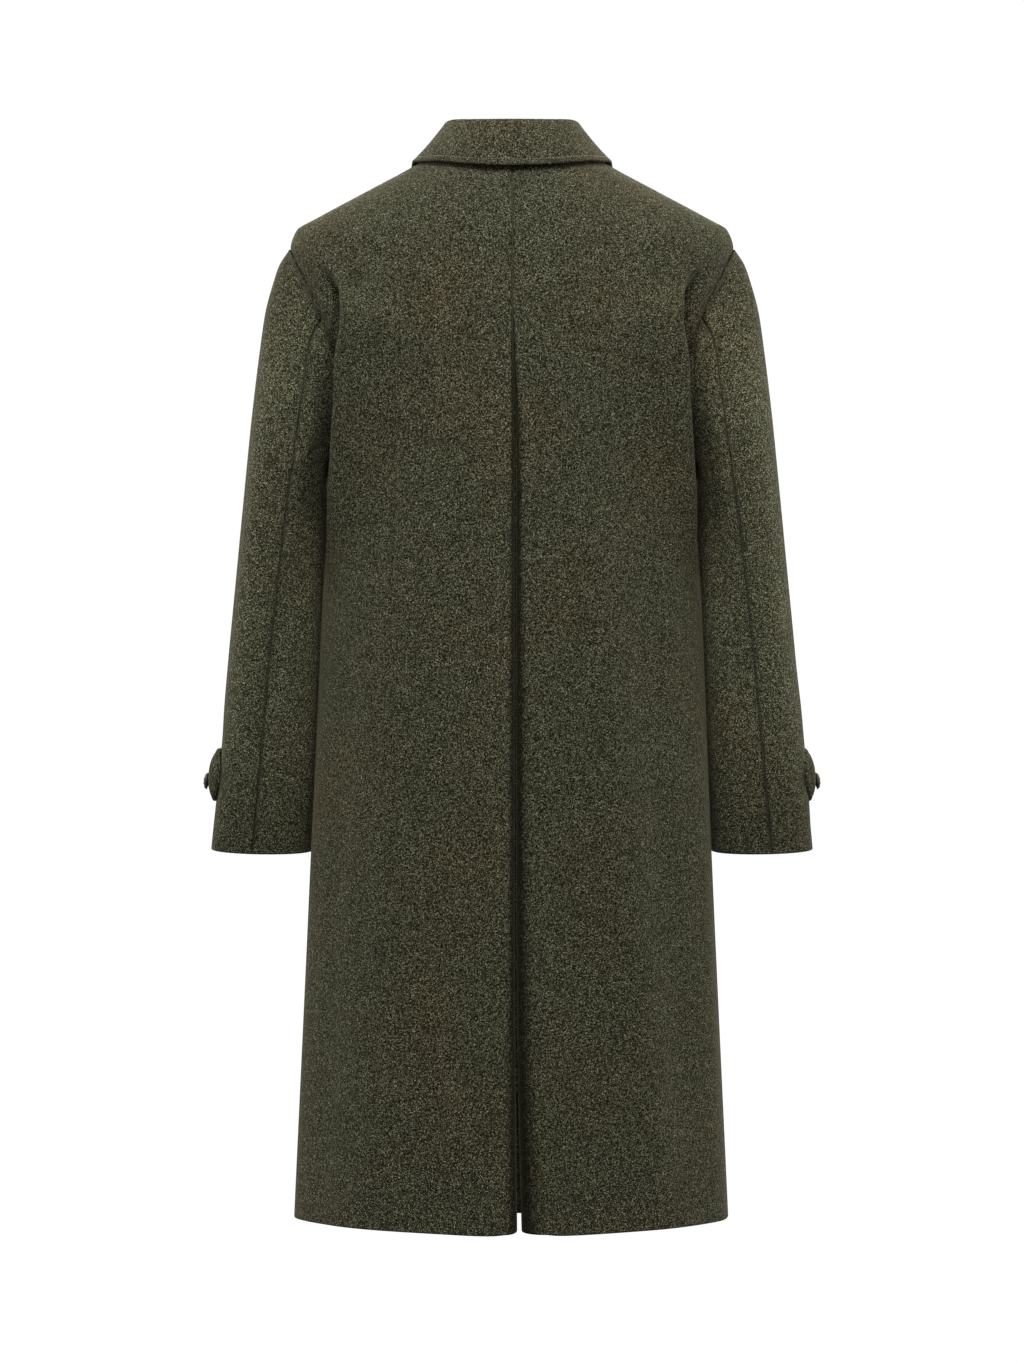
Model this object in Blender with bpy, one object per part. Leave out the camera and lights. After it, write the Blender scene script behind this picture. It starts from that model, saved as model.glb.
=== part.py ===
"""A long wool coat, hollow as if worn: a turn-down collar, two-piece sleeves with cuff tabs, and a
centre back seam that opens into an inverted pleat. +Z is up and the front faces -Y. The origin is at
the nape, level with the centre back neck seam, over the middle of the hollow.

Lengths below are in millimetres and angles in degrees. Meshes are made in metres."""

import math

import bpy
import numpy as np

MM = 0.001

CLOTH = 2.5
COLLAR_CLOTH = 3.6
TAB_CLOTH = 3.5
SEAM_GAP = 0.3
ARMHOLE_GAP = 0.6
STAND_GAP = 0.5

# A ring goes round the body at one height on the side line, and its name is that height
NECK, SHOULDER_TIP, UNDERARM, HEM = 10.0, -91.5, -330.0, -1105.0
BODY_COLUMNS = (
    "side_z", "back_z", "front_z", "half_width", "back_depth", "front_depth", "fold_x", "fold_y", "fold_angle"
)
BODY_RINGS = (
    (NECK, 0, -78, 80, 73, 73, 0, 0, 58),
    (-5.5, -22, -93, 105, 86, 84, 0, 0, 58),
    (-34, -56, -118, 158, 101, 99, 0, 0, 58),
    (-60.3, -90, -142, 207, 110, 108, 0, 0, 58),
    (-71.5, -106, -153, 226, 113, 111.5, 0, 0, 58),
    (SHOULDER_TIP, -141, -177, 232.5, 119, 118, 0, 0, 57),
    (-150, -185, -212, 221, 124, 126, 2, 13, 53.5),
    (-212, -230, -250, 205, 127, 132, 10, 13, 55.5),
    (-250, -260, -276, 198, 128, 134, 16.5, 11, 57),
    (UNDERARM, -332, -338, 191.5, 129.5, 137, 14, 6, 66),
    (-460, -460, -460, 199, 133, 140, 0, 0, 76),
    (-730, -730, -730, 210, 140, 147, 0, 0, 76),
    (HEM, HEM, HEM, 227, 151, 156, 0, 0, 76),
)
FOLD_TO_SEAM, FOLD_TO_BACK = 5.0, 16.0
SHOULDER_LEVELS = (NECK, 2.0, -5.5, -20.0, -34.0, -60.3, -71.5, -82.0)
SKIRT_LEVELS = (-395.0, -460.0, -590.0, -730.0, -915.0, HEM)

# Points across each piece's grid, crowded towards the armhole on a back and the lap on a front
BACK_POINTS, FRONT_POINTS, CROWDING = 9, 10, 1.4
ROLL_POINTS, UNDERLAY_POINTS, COLLAR_POINTS, FALL_POINTS, TAB_POINTS = 5, 7, 25, 5, 8
HALF_AND_END = np.array([[0.5, 1.0]])
SMOOTH_BELOW = 40.0

# The armhole leaves the side line by these angles at its middle
ARMHOLE_BACK, ARMHOLE_FRONT = 28.0, 32.0
SIDE = 90.0

# The roll where the two back halves meet, and what is folded under behind it
PLEAT_COLUMNS = ("side_z", "roll", "gap", "line_x", "folded_under")
PLEAT_RINGS = (
    (NECK, 3.0, 0.6, -0.5, 12),
    (-130, 3.0, 0.6, -0.5, 12),
    (-165, 3.2, 0.8, -0.8, 64),
    (-305, 4.5, 1.2, -3.4, 66),
    (-565, 6.5, 1.6, -3.7, 68),
    (-875, 9.5, 2.5, -4.6, 70),
    (HEM, 13.0, 6.0, -7.6, 72),
)
UNDERLAY_TOP, UNDERLAY_HEM = -165.0, -1087.0
UNDERLAY_BEHIND = 0.8
UNDERLAY_INSET = 3.0

# Each sleeve ring has an outer point, set back by the lean, and an inner point, set forward by it. The rings go
# from the armhole's shape to an oval
SLEEVE_COLUMNS = ("out_x", "out_z", "in_x", "in_z", "middle_y", "half_depth", "lean", "oval")
SLEEVE_RINGS = (
    (237.0, -95.5, 195, -331.5, -6, 66, 0, 0.08),
    (244.5, -108, 195.5, -335, -6, 69, 1, 0.25),
    (251.0, -128, 195.0, -340, -7, 72, 3, 0.45),
    (258.3, -157, 194.0, -347, -8, 75, 6, 0.65),
    (265.0, -205, 192.8, -356, -11, 78, 9, 0.83),
    (272.5, -266, 191.8, -368, -18, 79, 11, 0.95),
    (281.5, -350, 191.3, -389, -27, 77, 11, 1.0),
    (289.8, -428, 194.5, -442, -34, 71, 8, 1.0),
    (299.0, -516, 200.0, -528, -39, 64, 4, 1.0),
    (308.6, -617, 205.0, -626, -43, 57, 0, 1.0),
    (318.6, -723, 209.0, -729, -47, 51, 0, 1.0),
)
SLEEVE_START_DEPTHS = (-1.2, 1.0)
FRONT_SEAM = -110.0
BACK_SEAM_RINGS, BACK_SEAM_ANGLES = (0, 3, 5, 7, 10, 12), (62.0, 71.0, 85.0, 94.0, 86.0, 81.0)
# How many steps the sleeve takes from front seam to top, top to back seam, back seam to underarm, and on
STEPS_FRONT, STEPS_TOP, STEPS_BACK, STEPS_UNDER = 5, 3, 5, 3

FRONT_LAP = 25.0
LAP_CLEAR, LAP_BLEND, LAP_UNDER = 6.0, 50.0, 3.7

# The collar, by angle from centre back
COLLAR_END = 172.0
COLLAR_COLUMNS = ("angle", "lean_in", "rise", "edge_angle", "edge_level", "edge_lift", "bow")
COLLAR_STATIONS = (
    (0, 2, 36.5, 0, -6.5, 20, 3),
    (45, 8.5, 34.0, 45, -3.6, 10, 0),
    (70, 12, 30.0, 70, -4.2, 5.2, -2),
    (90, 13, 27.5, 90, -4.4, 5.2, -2),
    (112, 11, 27.0, 118, -13, 5.8, -1),
    (135, 5, 26.0, 140, -25, 6, 1),
    (COLLAR_END, -3, 20.0, 164.5, -40, 6, 2),
)
ROLL_RADIUS = 6.0
ROLL_END = 45.0

TAB_END, TAB_POINT_FROM = 24.0, 8.0
TAB_TOP_RING, TAB_LOW_RING, TAB_POINT_KEEP = 11.05, 11.52, 0.25
TAB_SEWN_LIFT, TAB_LIFT = 0.5, 6.0
CUFF_BUTTON_ANGLE, CUFF_BUTTON_RING = 3.0, 11.3
CUFF_BUTTON_RADIUS, CUFF_BUTTON_HEIGHT = 9.0, 5.2

FRONT_BUTTON_TOP, FRONT_BUTTON_STEP, FRONT_BUTTON_COUNT = -160.0, 135.0, 5
FRONT_BUTTON_RADIUS, FRONT_BUTTON_HEIGHT = 14.0, 7.5
BUTTON_SIDES = 14
# Share of the radius and of the height at each ring of a button, from its back to its dome
BUTTON_PROFILE = ((0.45, 0.0), (0.92, 0.22), (1.0, 0.42), (0.72, 0.82))

WOOL = (0.053, 0.051, 0.032)
DEEP_WOOL = (0.040, 0.039, 0.024)
LEATHER = (0.060, 0.032, 0.016)
WOOL_ROUGHNESS, LEATHER_ROUGHNESS = 0.95, 0.5

TINY = 1e-3
UP = np.array([0.0, 0.0, 1.0])


def slopes(knots, values):
    """Slopes of a monotone cubic through the values at the knots, along the first axis."""
    step = np.diff(knots).reshape((-1,) + (1,) * (values.ndim - 1))
    rise = np.diff(values, axis=0) / step
    before, after = rise[:-1], rise[1:]
    weigh_before = 2 * step[1:] + step[:-1]
    weigh_after = step[1:] + 2 * step[:-1]
    same_way = before * after > 0
    parts = weigh_before / np.where(same_way, before, 1) + weigh_after / np.where(same_way, after, 1)
    middle = np.where(same_way, (weigh_before + weigh_after) / np.where(same_way, parts, 1), 0)
    return np.concatenate([rise[:1], middle, rise[-1:]])


def between(knots, values, place):
    """The monotone cubic through the values, read at each place. Stacked values share the places' shape."""
    slope = slopes(knots, values)
    row = np.clip(np.searchsorted(knots, place, side="right") - 1, 0, len(knots) - 2)
    step = knots[row + 1] - knots[row]
    part = (place - knots[row]) / step

    def pick(array, index):
        if array.ndim == 1:
            return array[index]
        return np.take_along_axis(array, index[None], axis=0)[0]

    start, end = pick(values, row), pick(values, row + 1)
    start_slope, end_slope = pick(slope, row) * step, pick(slope, row + 1) * step
    ease = part * part * (3 - 2 * part)
    return start + (end - start) * ease + part * (1 - part) * ((1 - part) * start_slope - part * end_slope)


class Table:
    """Rows of named columns, read between the rows by the first column."""

    def __init__(self, names, rows):
        values = np.array(rows, float)
        values = values[np.argsort(values[:, 0])]
        self.columns = dict(zip(names, values.T))
        self.knots = values[:, 0]

    def at(self, name, place):
        return between(self.knots, self.columns[name], np.asarray(place, float))


rings = Table(BODY_COLUMNS, BODY_RINGS)
pleat = Table(PLEAT_COLUMNS, PLEAT_RINGS)
collar = Table(COLLAR_COLUMNS, COLLAR_STATIONS)
sleeve_table = dict(zip(SLEEVE_COLUMNS, np.array(SLEEVE_RINGS, float).T))
sleeve_places = np.arange(len(SLEEVE_START_DEPTHS) + len(SLEEVE_RINGS), dtype=float)


def unit(vectors):
    return vectors / np.linalg.norm(vectors, axis=-1, keepdims=True)


def soft_step(part):
    part = np.clip(part, 0, 1)
    return part * part * (3 - 2 * part)


def body(angle, level):
    """Outer face of the body: an oval ring for each level, angle 0 at centre back and 180 at centre front."""
    angle, level = np.broadcast_arrays(np.asarray(angle, float), np.asarray(level, float))
    sine, cosine = np.sin(np.radians(angle)), np.cos(np.radians(angle))
    at_back = cosine >= 0
    depth = np.where(at_back, rings.at("back_depth", level), rings.at("front_depth", level))
    middle_z = np.where(at_back, rings.at("back_z", level), rings.at("front_z", level))
    past_fold = angle - rings.at("fold_angle", level)
    fold = np.exp(-((past_fold / np.where(past_fold > 0, FOLD_TO_SEAM, FOLD_TO_BACK)) ** 2))
    x = rings.at("half_width", level) * sine + rings.at("fold_x", level) * fold
    y = depth * cosine + rings.at("fold_y", level) * fold
    z = level + (middle_z - level) * cosine**2
    return np.stack([x, y, z], axis=-1)


def armhole(turn):
    """Angle and level where the armhole runs: turn 0 at the shoulder tip, 90 behind, 180 below."""
    sine, cosine = np.sin(np.radians(turn)), np.cos(np.radians(turn))
    angle = SIDE - np.where(sine > 0, ARMHOLE_BACK, ARMHOLE_FRONT) * sine
    return angle, SHOULDER_TIP + (UNDERARM - SHOULDER_TIP) * (1 - cosine) / 2


def along(surface, first, second):
    """The surface's two directions at each point, by small steps either way."""
    by_first = surface(first + TINY, second) - surface(first - TINY, second)
    by_second = surface(first, second + TINY) - surface(first, second - TINY)
    return by_first, by_second


def outward(surface, first, second):
    by_first, by_second = along(surface, first, second)
    return unit(np.cross(by_second, by_first))


def sleeve_ring(number, turn):
    """One ring of the sleeve. The first two lie in the armhole's edge, and the rest swell to an oval."""
    edge = body(*armhole(turn))
    if number < len(SLEEVE_START_DEPTHS):
        out = outward(body, *armhole(turn))
        run = body(*armhole(turn + TINY)) - body(*armhole(turn - TINY))
        into_hole = unit(np.cross(run, out))
        return edge + ARMHOLE_GAP * into_hole + SLEEVE_START_DEPTHS[number] * out
    row = {name: values[number - len(SLEEVE_START_DEPTHS)] for name, values in sleeve_table.items()}
    outer = np.array([row["out_x"], row["middle_y"] + row["lean"], row["out_z"]])
    inner = np.array([row["in_x"], row["middle_y"] - row["lean"], row["in_z"]])
    cosine = np.cos(np.radians(turn))[..., None]
    sine = np.sin(np.radians(turn))[..., None]
    oval = (outer + inner) / 2 + (outer - inner) / 2 * cosine + np.array([0, row["half_depth"], 0]) * sine
    outer_move = outer - body(*armhole(np.array(0.0)))
    inner_move = inner - body(*armhole(np.array(180.0)))
    moved = edge + outer_move * (1 + cosine) / 2 + inner_move * (1 - cosine) / 2
    return moved + (oval - moved) * row["oval"]


def sleeve(turn, place):
    """Outer face of the sleeve: turn 0 on top, 90 behind, and the place counts rings from the armhole."""
    turn, place = np.broadcast_arrays(np.asarray(turn, float), np.asarray(place, float))
    stack = np.stack([sleeve_ring(int(number), turn) for number in sleeve_places])
    places = np.broadcast_to(place[..., None], stack.shape[1:])
    return between(sleeve_places, stack, places)


def material(name, colour, roughness):
    made = bpy.data.materials.new(name)
    made.use_nodes = True
    shader = made.node_tree.nodes["Principled BSDF"]
    shader.inputs["Base Color"].default_value = (*colour, 1)
    shader.inputs["Roughness"].default_value = roughness
    shader.inputs["Metallic"].default_value = 0
    return made


def add_mesh(name, points, faces, finish):
    """A named object from points in millimetres, its faces turned to point out."""
    triangles = np.array([(face[0], a, b) for face in faces for a, b in zip(face[1:-1], face[2:])])
    if np.linalg.det(points[triangles]).sum() < 0:
        faces = [face[::-1] for face in faces]
    mesh = bpy.data.meshes.new(name)
    mesh.from_pydata((points * MM).tolist(), [], faces)
    mesh.shade_smooth()
    mesh.set_sharp_from_angle(angle=math.radians(SMOOTH_BELOW))
    mesh.materials.append(finish)
    made = bpy.data.objects.new(name, mesh)
    bpy.context.scene.collection.objects.link(made)


def add_wall(name, outer, normals, thickness, side, finish):
    """A closed wall from a grid of outer points, its inner face set in by the thickness."""
    rows, columns = outer.shape[:2]
    count = rows * columns
    points = np.concatenate([outer.reshape(-1, 3), (outer - thickness * normals).reshape(-1, 3)])
    points = points * np.array([side, 1, 1])
    index = np.arange(count).reshape(rows, columns)
    corners = [index[:-1, :-1], index[:-1, 1:], index[1:, 1:], index[1:, :-1]]
    quads = np.stack([corner.ravel() for corner in corners], axis=-1)
    border = np.concatenate([index[0, :-1], index[:-1, -1], index[-1, :0:-1], index[:0:-1, 0]])
    ahead = np.roll(border, -1)
    # Each rim face is split from its first outer corner, so that walls that meet at a seam split alike
    first, last = np.minimum(border, ahead), np.maximum(border, ahead)
    onward = (ahead > border)[:, None]
    upper = np.stack([last, first, last + count], axis=-1)
    lower = np.stack([first, first + count, last + count], axis=-1)
    rim = np.concatenate([np.where(onward, part, part[:, ::-1]) for part in (upper, lower)])
    faces = quads.tolist() + (quads[:, ::-1] + count).tolist() + rim.tolist()
    add_mesh(name, points, faces, finish)


def panel_levels():
    """Levels of the rows of a back and of a front, with the sleeve's own rows along the armhole."""
    shoulder = np.array(SHOULDER_LEVELS)
    back_seam = BACK_SEAM_ANGLES[0]
    by_back = np.concatenate([
        np.linspace(0, back_seam, STEPS_TOP + 1), np.linspace(back_seam, 180, STEPS_BACK + 1)[1:]
    ])
    by_front = -np.concatenate([
        np.linspace(0, -FRONT_SEAM, STEPS_FRONT + 1), np.linspace(-FRONT_SEAM, 180, STEPS_UNDER + 1)[1:]
    ])
    skirt = np.array(SKIRT_LEVELS)
    above, below = np.zeros(len(shoulder)), np.full(len(skirt), 180.0)
    back_turns = np.concatenate([above, by_back, below])
    front_turns = np.concatenate([above, by_front, -below])
    back = np.concatenate([shoulder, armhole(by_back)[1], skirt])
    front = np.concatenate([shoulder, armhole(by_front)[1], skirt])
    return back, back_turns, front, front_turns


def seam_pad(level, depth_name):
    """Half a seam gap as an angle, at the side line."""
    return np.degrees(SEAM_GAP / 2 / rings.at(depth_name, level))


def add_back(name, side, finish):
    """One back half: from the side to the centre, round the roll there, and along the part folded under."""
    level, turn = panel_levels()[:2]
    level = level[:, None]
    roll = pleat.at("roll", level)
    width = rings.at("half_width", level)
    start = side * pleat.at("line_x", level) + pleat.at("gap", level) / 2 + roll
    centre_angle = np.degrees(np.arcsin(start / width))
    side_angle = armhole(turn)[0][:, None] - seam_pad(level, "back_depth")
    across = np.linspace(0, 1, BACK_POINTS)[None, :] ** CROWDING
    angle = side_angle + (centre_angle - side_angle) * across
    levels = np.broadcast_to(level, angle.shape)
    face, face_out = body(angle, levels), outward(body, angle, levels)

    top, top_out = face[:, -1:], face_out[:, -1:]
    inward = -unit(along(body, centre_angle, level)[0])
    bend = np.radians(np.linspace(0, 180, ROLL_POINTS)[1:])[None, :, None]
    radius = roll[..., None]
    round_roll = top + radius * (np.sin(bend) * inward - (1 - np.cos(bend)) * top_out)
    roll_out = np.cos(bend) * top_out + np.sin(bend) * inward

    under_turn = np.degrees(pleat.at("folded_under", level) / width)
    under_angle = centre_angle + under_turn * HALF_AND_END
    under_levels = np.broadcast_to(level, under_angle.shape)
    under_out = outward(body, under_angle, under_levels)
    under = body(under_angle, under_levels) - 2 * radius * under_out

    outer = np.concatenate([face, round_roll, under], axis=1)
    normals = np.concatenate([face_out, roll_out, -under_out], axis=1)
    add_wall(name, outer, normals, CLOTH, side, finish)


def add_underlay(name, finish):
    """The strip behind the pleat, its own hem a little above the coat's."""
    level = panel_levels()[0]
    level = level[(level < UNDERLAY_TOP) & (level > UNDERLAY_HEM)]
    level = np.concatenate([[UNDERLAY_TOP], level, [UNDERLAY_HEM]])[:, None]
    across = np.linspace(-1, 1, UNDERLAY_POINTS)[None, :]
    reach = pleat.at("folded_under", level) - UNDERLAY_INSET
    angle = np.degrees((reach * across) / rings.at("half_width", level))
    levels = np.broadcast_to(level, angle.shape)
    out = outward(body, angle, levels)
    behind = 2 * pleat.at("roll", levels) + UNDERLAY_BEHIND
    add_wall(name, body(angle, levels) - behind[..., None] * out, out, CLOTH, 1, finish)


def add_front(name, side, finish):
    """One front, from the side past the centre by the lap. The right one passes under the left."""
    level, turn = panel_levels()[2:]
    level = level[:, None]
    width = rings.at("half_width", level)
    side_angle = armhole(turn)[0][:, None] + seam_pad(level, "front_depth")
    across = 1 - np.linspace(1, 0, FRONT_POINTS)[None, :] ** CROWDING
    lap = np.degrees(np.arcsin(FRONT_LAP / width)) * HALF_AND_END
    angle = np.concatenate([side_angle + (180 - side_angle) * across, 180 + lap], axis=1)
    levels = np.broadcast_to(level, angle.shape)
    outer, out = body(angle, levels), outward(body, angle, levels)
    if side < 0:
        past_edge = outer[..., :1] - FRONT_LAP - LAP_CLEAR
        outer = outer - LAP_UNDER * (1 - soft_step(past_edge / LAP_BLEND)) * out
    add_wall(name, outer, out, CLOTH, side, finish)


def sleeve_turns(places):
    """Turns of the sleeve's columns on each ring: the top sleeve's, then the under sleeve's."""
    back_seam = between(
        np.array(BACK_SEAM_RINGS, float), np.array(BACK_SEAM_ANGLES), np.asarray(places, float)
    )[:, None]
    front = np.linspace(FRONT_SEAM, 0, STEPS_FRONT + 1)[None, :-1] + 0 * back_seam
    top = back_seam * np.linspace(0, 1, STEPS_TOP + 1)
    back = back_seam + (180 - back_seam) * np.linspace(0, 1, STEPS_BACK + 1)
    under = np.linspace(180, 360 + FRONT_SEAM, STEPS_UNDER + 1)[None, 1:] + 0 * back_seam
    return np.concatenate([front, top], axis=1), np.concatenate([back, under], axis=1)


def add_sleeve(side_name, side, finish):
    places = sleeve_places
    for piece, turn in zip(("top_sleeve", "under_sleeve"), sleeve_turns(places)):
        place = np.broadcast_to(places[:, None], turn.shape)
        speed = np.linalg.norm(along(sleeve, turn, place)[0], axis=-1) / (2 * TINY)
        inset = np.zeros(turn.shape)
        inset[:, 0], inset[:, -1] = SEAM_GAP / 2, -SEAM_GAP / 2
        turn = turn + inset / speed
        add_wall(
            f"{piece}_{side_name}", sleeve(turn, place), outward(sleeve, turn, place), CLOTH, side, finish
        )


def collar_frame(angle):
    """For each station: the neck's edge, the roll's middle, the way out, the fall's edge and its bow."""
    apart = np.abs(angle)
    neck = body(apart, NECK)
    run = along(body, apart, np.full_like(apart, NECK))[0]
    plan_out = unit(np.stack([-run[..., 1], run[..., 0], np.zeros_like(apart)], axis=-1))
    middle = neck - collar.at("lean_in", apart)[..., None] * plan_out
    middle = middle + UP * (collar.at("rise", apart) - ROLL_RADIUS)[..., None]
    level = collar.at("edge_level", apart)
    lift = collar.at("edge_lift", apart)[..., None]
    edge_angle = collar.at("edge_angle", apart)
    edge = body(edge_angle, level) + lift * outward(body, edge_angle, level)
    flip = np.stack([np.where(angle < 0, -1, 1), np.ones_like(angle), np.ones_like(angle)], axis=-1)
    return neck * flip, middle * flip, plan_out * flip, edge * flip, collar.at("bow", apart)[..., None]


def roll_way(out, place):
    """The way from the roll's middle to its face: place 0 faces the neck, and 1 is where the fall begins."""
    bend = np.radians(180 + (ROLL_END - 180) * np.clip(place, 0, 1))[..., None]
    return np.cos(bend) * out + np.sin(bend) * UP


def collar_fall(angle, place):
    """Outer face of the fall: place 0 to 1 goes over the roll, and 1 to 2 down to the edge."""
    middle, out, edge, bow = collar_frame(angle)[1:]
    over = middle + ROLL_RADIUS * roll_way(out, place)
    down = np.clip(place - 1, 0, 1)[..., None]
    return over + (edge - over) * down + bow * 4 * down * (1 - down) * unit(out + UP)


def grid_normals(grid):
    """Directions square to a grid of points, by its own rows and columns."""
    return unit(np.cross(np.gradient(grid, axis=0), np.gradient(grid, axis=1)))


def add_collar(finish, deep_finish):
    angle = np.linspace(-COLLAR_END, COLLAR_END, COLLAR_POINTS)[:, None]
    place = np.concatenate([np.linspace(0, 1, FALL_POINTS), np.linspace(1, 2, FALL_POINTS)[1:]])[None, :]
    angles, places = np.broadcast_arrays(angle, place)
    fall = collar_fall(angles, places)
    neck, middle, out = collar_frame(angle[:, 0])[:3]
    normals = np.where(places[..., None] <= 1, roll_way(out[:, None], places), grid_normals(fall))
    add_wall("collar_fall", fall, normals, COLLAR_CLOTH, 1, finish)

    foot = neck - COLLAR_CLOTH * out + STAND_GAP * UP
    head = middle - ROLL_RADIUS * out - STAND_GAP * UP
    stand = np.stack([foot, (foot + head) / 2, head], axis=1)
    to_neck = -np.repeat(out[:, None], stand.shape[1], axis=1)
    add_wall("collar_stand", stand, to_neck, COLLAR_CLOTH, 1, deep_finish)


def add_tab(name, side, finish):
    """A cuff tab from the front seam round the outside of the sleeve to a pointed end."""
    turn = np.concatenate([np.linspace(FRONT_SEAM, TAB_POINT_FROM, TAB_POINTS), [TAB_END]])[None, :]
    middle, half = (TAB_LOW_RING + TAB_TOP_RING) / 2, (TAB_LOW_RING - TAB_TOP_RING) / 2
    keep = np.where(turn > TAB_POINT_FROM, TAB_POINT_KEEP, 1)
    place = middle + half * keep * np.linspace(-1, 1, TAB_POINTS // 2)[:, None]
    turns = np.broadcast_to(turn, place.shape)
    out = outward(sleeve, turns, place)
    rise = soft_step((turns - FRONT_SEAM) / -FRONT_SEAM)
    lift = TAB_CLOTH + TAB_SEWN_LIFT + (TAB_LIFT - TAB_SEWN_LIFT) * rise
    add_wall(name, sleeve(turns, place) + lift[..., None] * out, out, TAB_CLOTH, side, finish)


def add_button(name, seat, out, radius, height, finish):
    """A domed button on its seat, turned round the way out."""
    across = unit(np.cross(out, UP))
    upright = np.cross(across, out)
    spin = np.linspace(0, 2 * math.pi, BUTTON_SIDES, endpoint=False)[:, None]
    circle = np.cos(spin) * across + np.sin(spin) * upright
    points = [seat]
    for wide, high in BUTTON_PROFILE:
        points.extend(seat + radius * wide * circle + height * high * out)
    points.append(seat + height * out)
    last = len(points) - 1
    faces = []
    for step in range(BUTTON_SIDES):
        after = (step + 1) % BUTTON_SIDES
        faces.append([0, 1 + step, 1 + after])
        for ring in range(len(BUTTON_PROFILE) - 1):
            low, high = 1 + ring * BUTTON_SIDES, 1 + (ring + 1) * BUTTON_SIDES
            faces.append([low + step, high + step, high + after, low + after])
        top = 1 + (len(BUTTON_PROFILE) - 1) * BUTTON_SIDES
        faces.append([last, top + after, top + step])
    add_mesh(name, np.array(points), faces, finish)


def main():
    for old in list(bpy.data.objects):
        bpy.data.objects.remove(old)
    wool = material("loden_wool", WOOL, WOOL_ROUGHNESS)
    deep_wool = material("loden_wool_inside", DEEP_WOOL, WOOL_ROUGHNESS)
    leather = material("woven_leather", LEATHER, LEATHER_ROUGHNESS)

    for side_name, side in (("left", 1), ("right", -1)):
        mirrored = np.array([side, 1, 1])
        add_back(f"back_{side_name}", side, wool)
        add_front(f"front_{side_name}", side, wool)
        add_sleeve(side_name, side, wool)
        add_tab(f"cuff_tab_{side_name}", side, wool)
        turn, place = np.array(CUFF_BUTTON_ANGLE), np.array(CUFF_BUTTON_RING)
        out = outward(sleeve, turn, place)
        seat = sleeve(turn, place) + (TAB_CLOTH + TAB_LIFT + SEAM_GAP) * out
        add_button(
            f"cuff_button_{side_name}", seat * mirrored, out * mirrored,
            CUFF_BUTTON_RADIUS, CUFF_BUTTON_HEIGHT, leather,
        )
    add_underlay("pleat_underlay", deep_wool)
    add_collar(wool, deep_wool)
    for number in range(FRONT_BUTTON_COUNT):
        centre, level = np.array(180.0), np.array(FRONT_BUTTON_TOP - number * FRONT_BUTTON_STEP)
        out = outward(body, centre, level)
        add_button(
            f"front_button_{number + 1}", body(centre, level) + SEAM_GAP * out, out,
            FRONT_BUTTON_RADIUS, FRONT_BUTTON_HEIGHT, leather,
        )


main()
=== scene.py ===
import bpy
import numpy as np
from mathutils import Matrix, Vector


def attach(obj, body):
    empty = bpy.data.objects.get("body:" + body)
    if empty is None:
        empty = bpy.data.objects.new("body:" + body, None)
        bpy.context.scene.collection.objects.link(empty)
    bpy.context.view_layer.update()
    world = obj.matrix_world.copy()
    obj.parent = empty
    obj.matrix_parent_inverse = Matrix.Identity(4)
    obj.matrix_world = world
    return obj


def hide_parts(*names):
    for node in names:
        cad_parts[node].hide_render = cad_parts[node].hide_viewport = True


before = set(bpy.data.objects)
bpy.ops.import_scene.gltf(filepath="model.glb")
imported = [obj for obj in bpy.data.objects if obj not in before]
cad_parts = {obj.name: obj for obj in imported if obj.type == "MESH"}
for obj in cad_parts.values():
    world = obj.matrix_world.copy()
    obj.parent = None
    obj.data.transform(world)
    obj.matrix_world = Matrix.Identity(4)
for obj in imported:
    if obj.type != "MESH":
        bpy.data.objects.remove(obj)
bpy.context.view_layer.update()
print("frame loaded:", len(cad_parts), "nodes")

mm = 0.001
tiny = 1e-3
upward = np.array([0.0, 0.0, 1.0])
leftAndRight = (("left", 1), ("right", -1))


def cubicSlopes(knots, values):
    # slopes of a monotone cubic: the weighted harmonic mean of the rises on both sides of each knot
    step = np.diff(knots).reshape((-1,) + (1,) * (values.ndim - 1))
    rise = np.diff(values, axis=0) / step
    before, after = rise[:-1], rise[1:]
    weighBefore = 2 * step[1:] + step[:-1]
    weighAfter = step[1:] + 2 * step[:-1]
    sameWay = before * after > 0
    parts = weighBefore / np.where(sameWay, before, 1) + weighAfter / np.where(sameWay, after, 1)
    middle = np.where(sameWay, (weighBefore + weighAfter) / np.where(sameWay, parts, 1), 0)
    return np.concatenate([rise[:1], middle, rise[-1:]])


def readCubic(knots, values, place):
    # the cubic between two knots: an eased blend of their values plus a term for each slope
    slope = cubicSlopes(knots, values)
    row = np.clip(np.searchsorted(knots, place, side="right") - 1, 0, len(knots) - 2)
    step = knots[row + 1] - knots[row]
    part = (place - knots[row]) / step

    def pick(array, index):
        # the array's entry for each place, from its own column where values are stacked
        if array.ndim == 1:
            return array[index]
        return np.take_along_axis(array, index[None], axis=0)[0]

    start, end = pick(values, row), pick(values, row + 1)
    startSlope, endSlope = pick(slope, row) * step, pick(slope, row + 1) * step
    ease = part * part * (3 - 2 * part)
    return start + (end - start) * ease + part * (1 - part) * ((1 - part) * startSlope - part * endSlope)


class Table:
    # rows of named columns, read between the rows by the first column
    def __init__(self, names, rows):
        values = np.array(rows, float)
        values = values[np.argsort(values[:, 0])]
        self.columns = dict(zip(names, values.T))
        self.knots = values[:, 0]

    def at(self, name, place):
        # the named column at each place, by the monotone cubic
        return readCubic(self.knots, self.columns[name], np.asarray(place, float))


def unit(vectors):
    # each vector over its own length
    return vectors / np.linalg.norm(vectors, axis=-1, keepdims=True)


def softStep(part):
    # 0 to 1 with level ends: 3 p^2 - 2 p^3
    part = np.clip(part, 0, 1)
    return part * part * (3 - 2 * part)


def bell(offset):
    # a soft hump: e to the minus offset squared
    return np.exp(-(offset**2))


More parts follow.
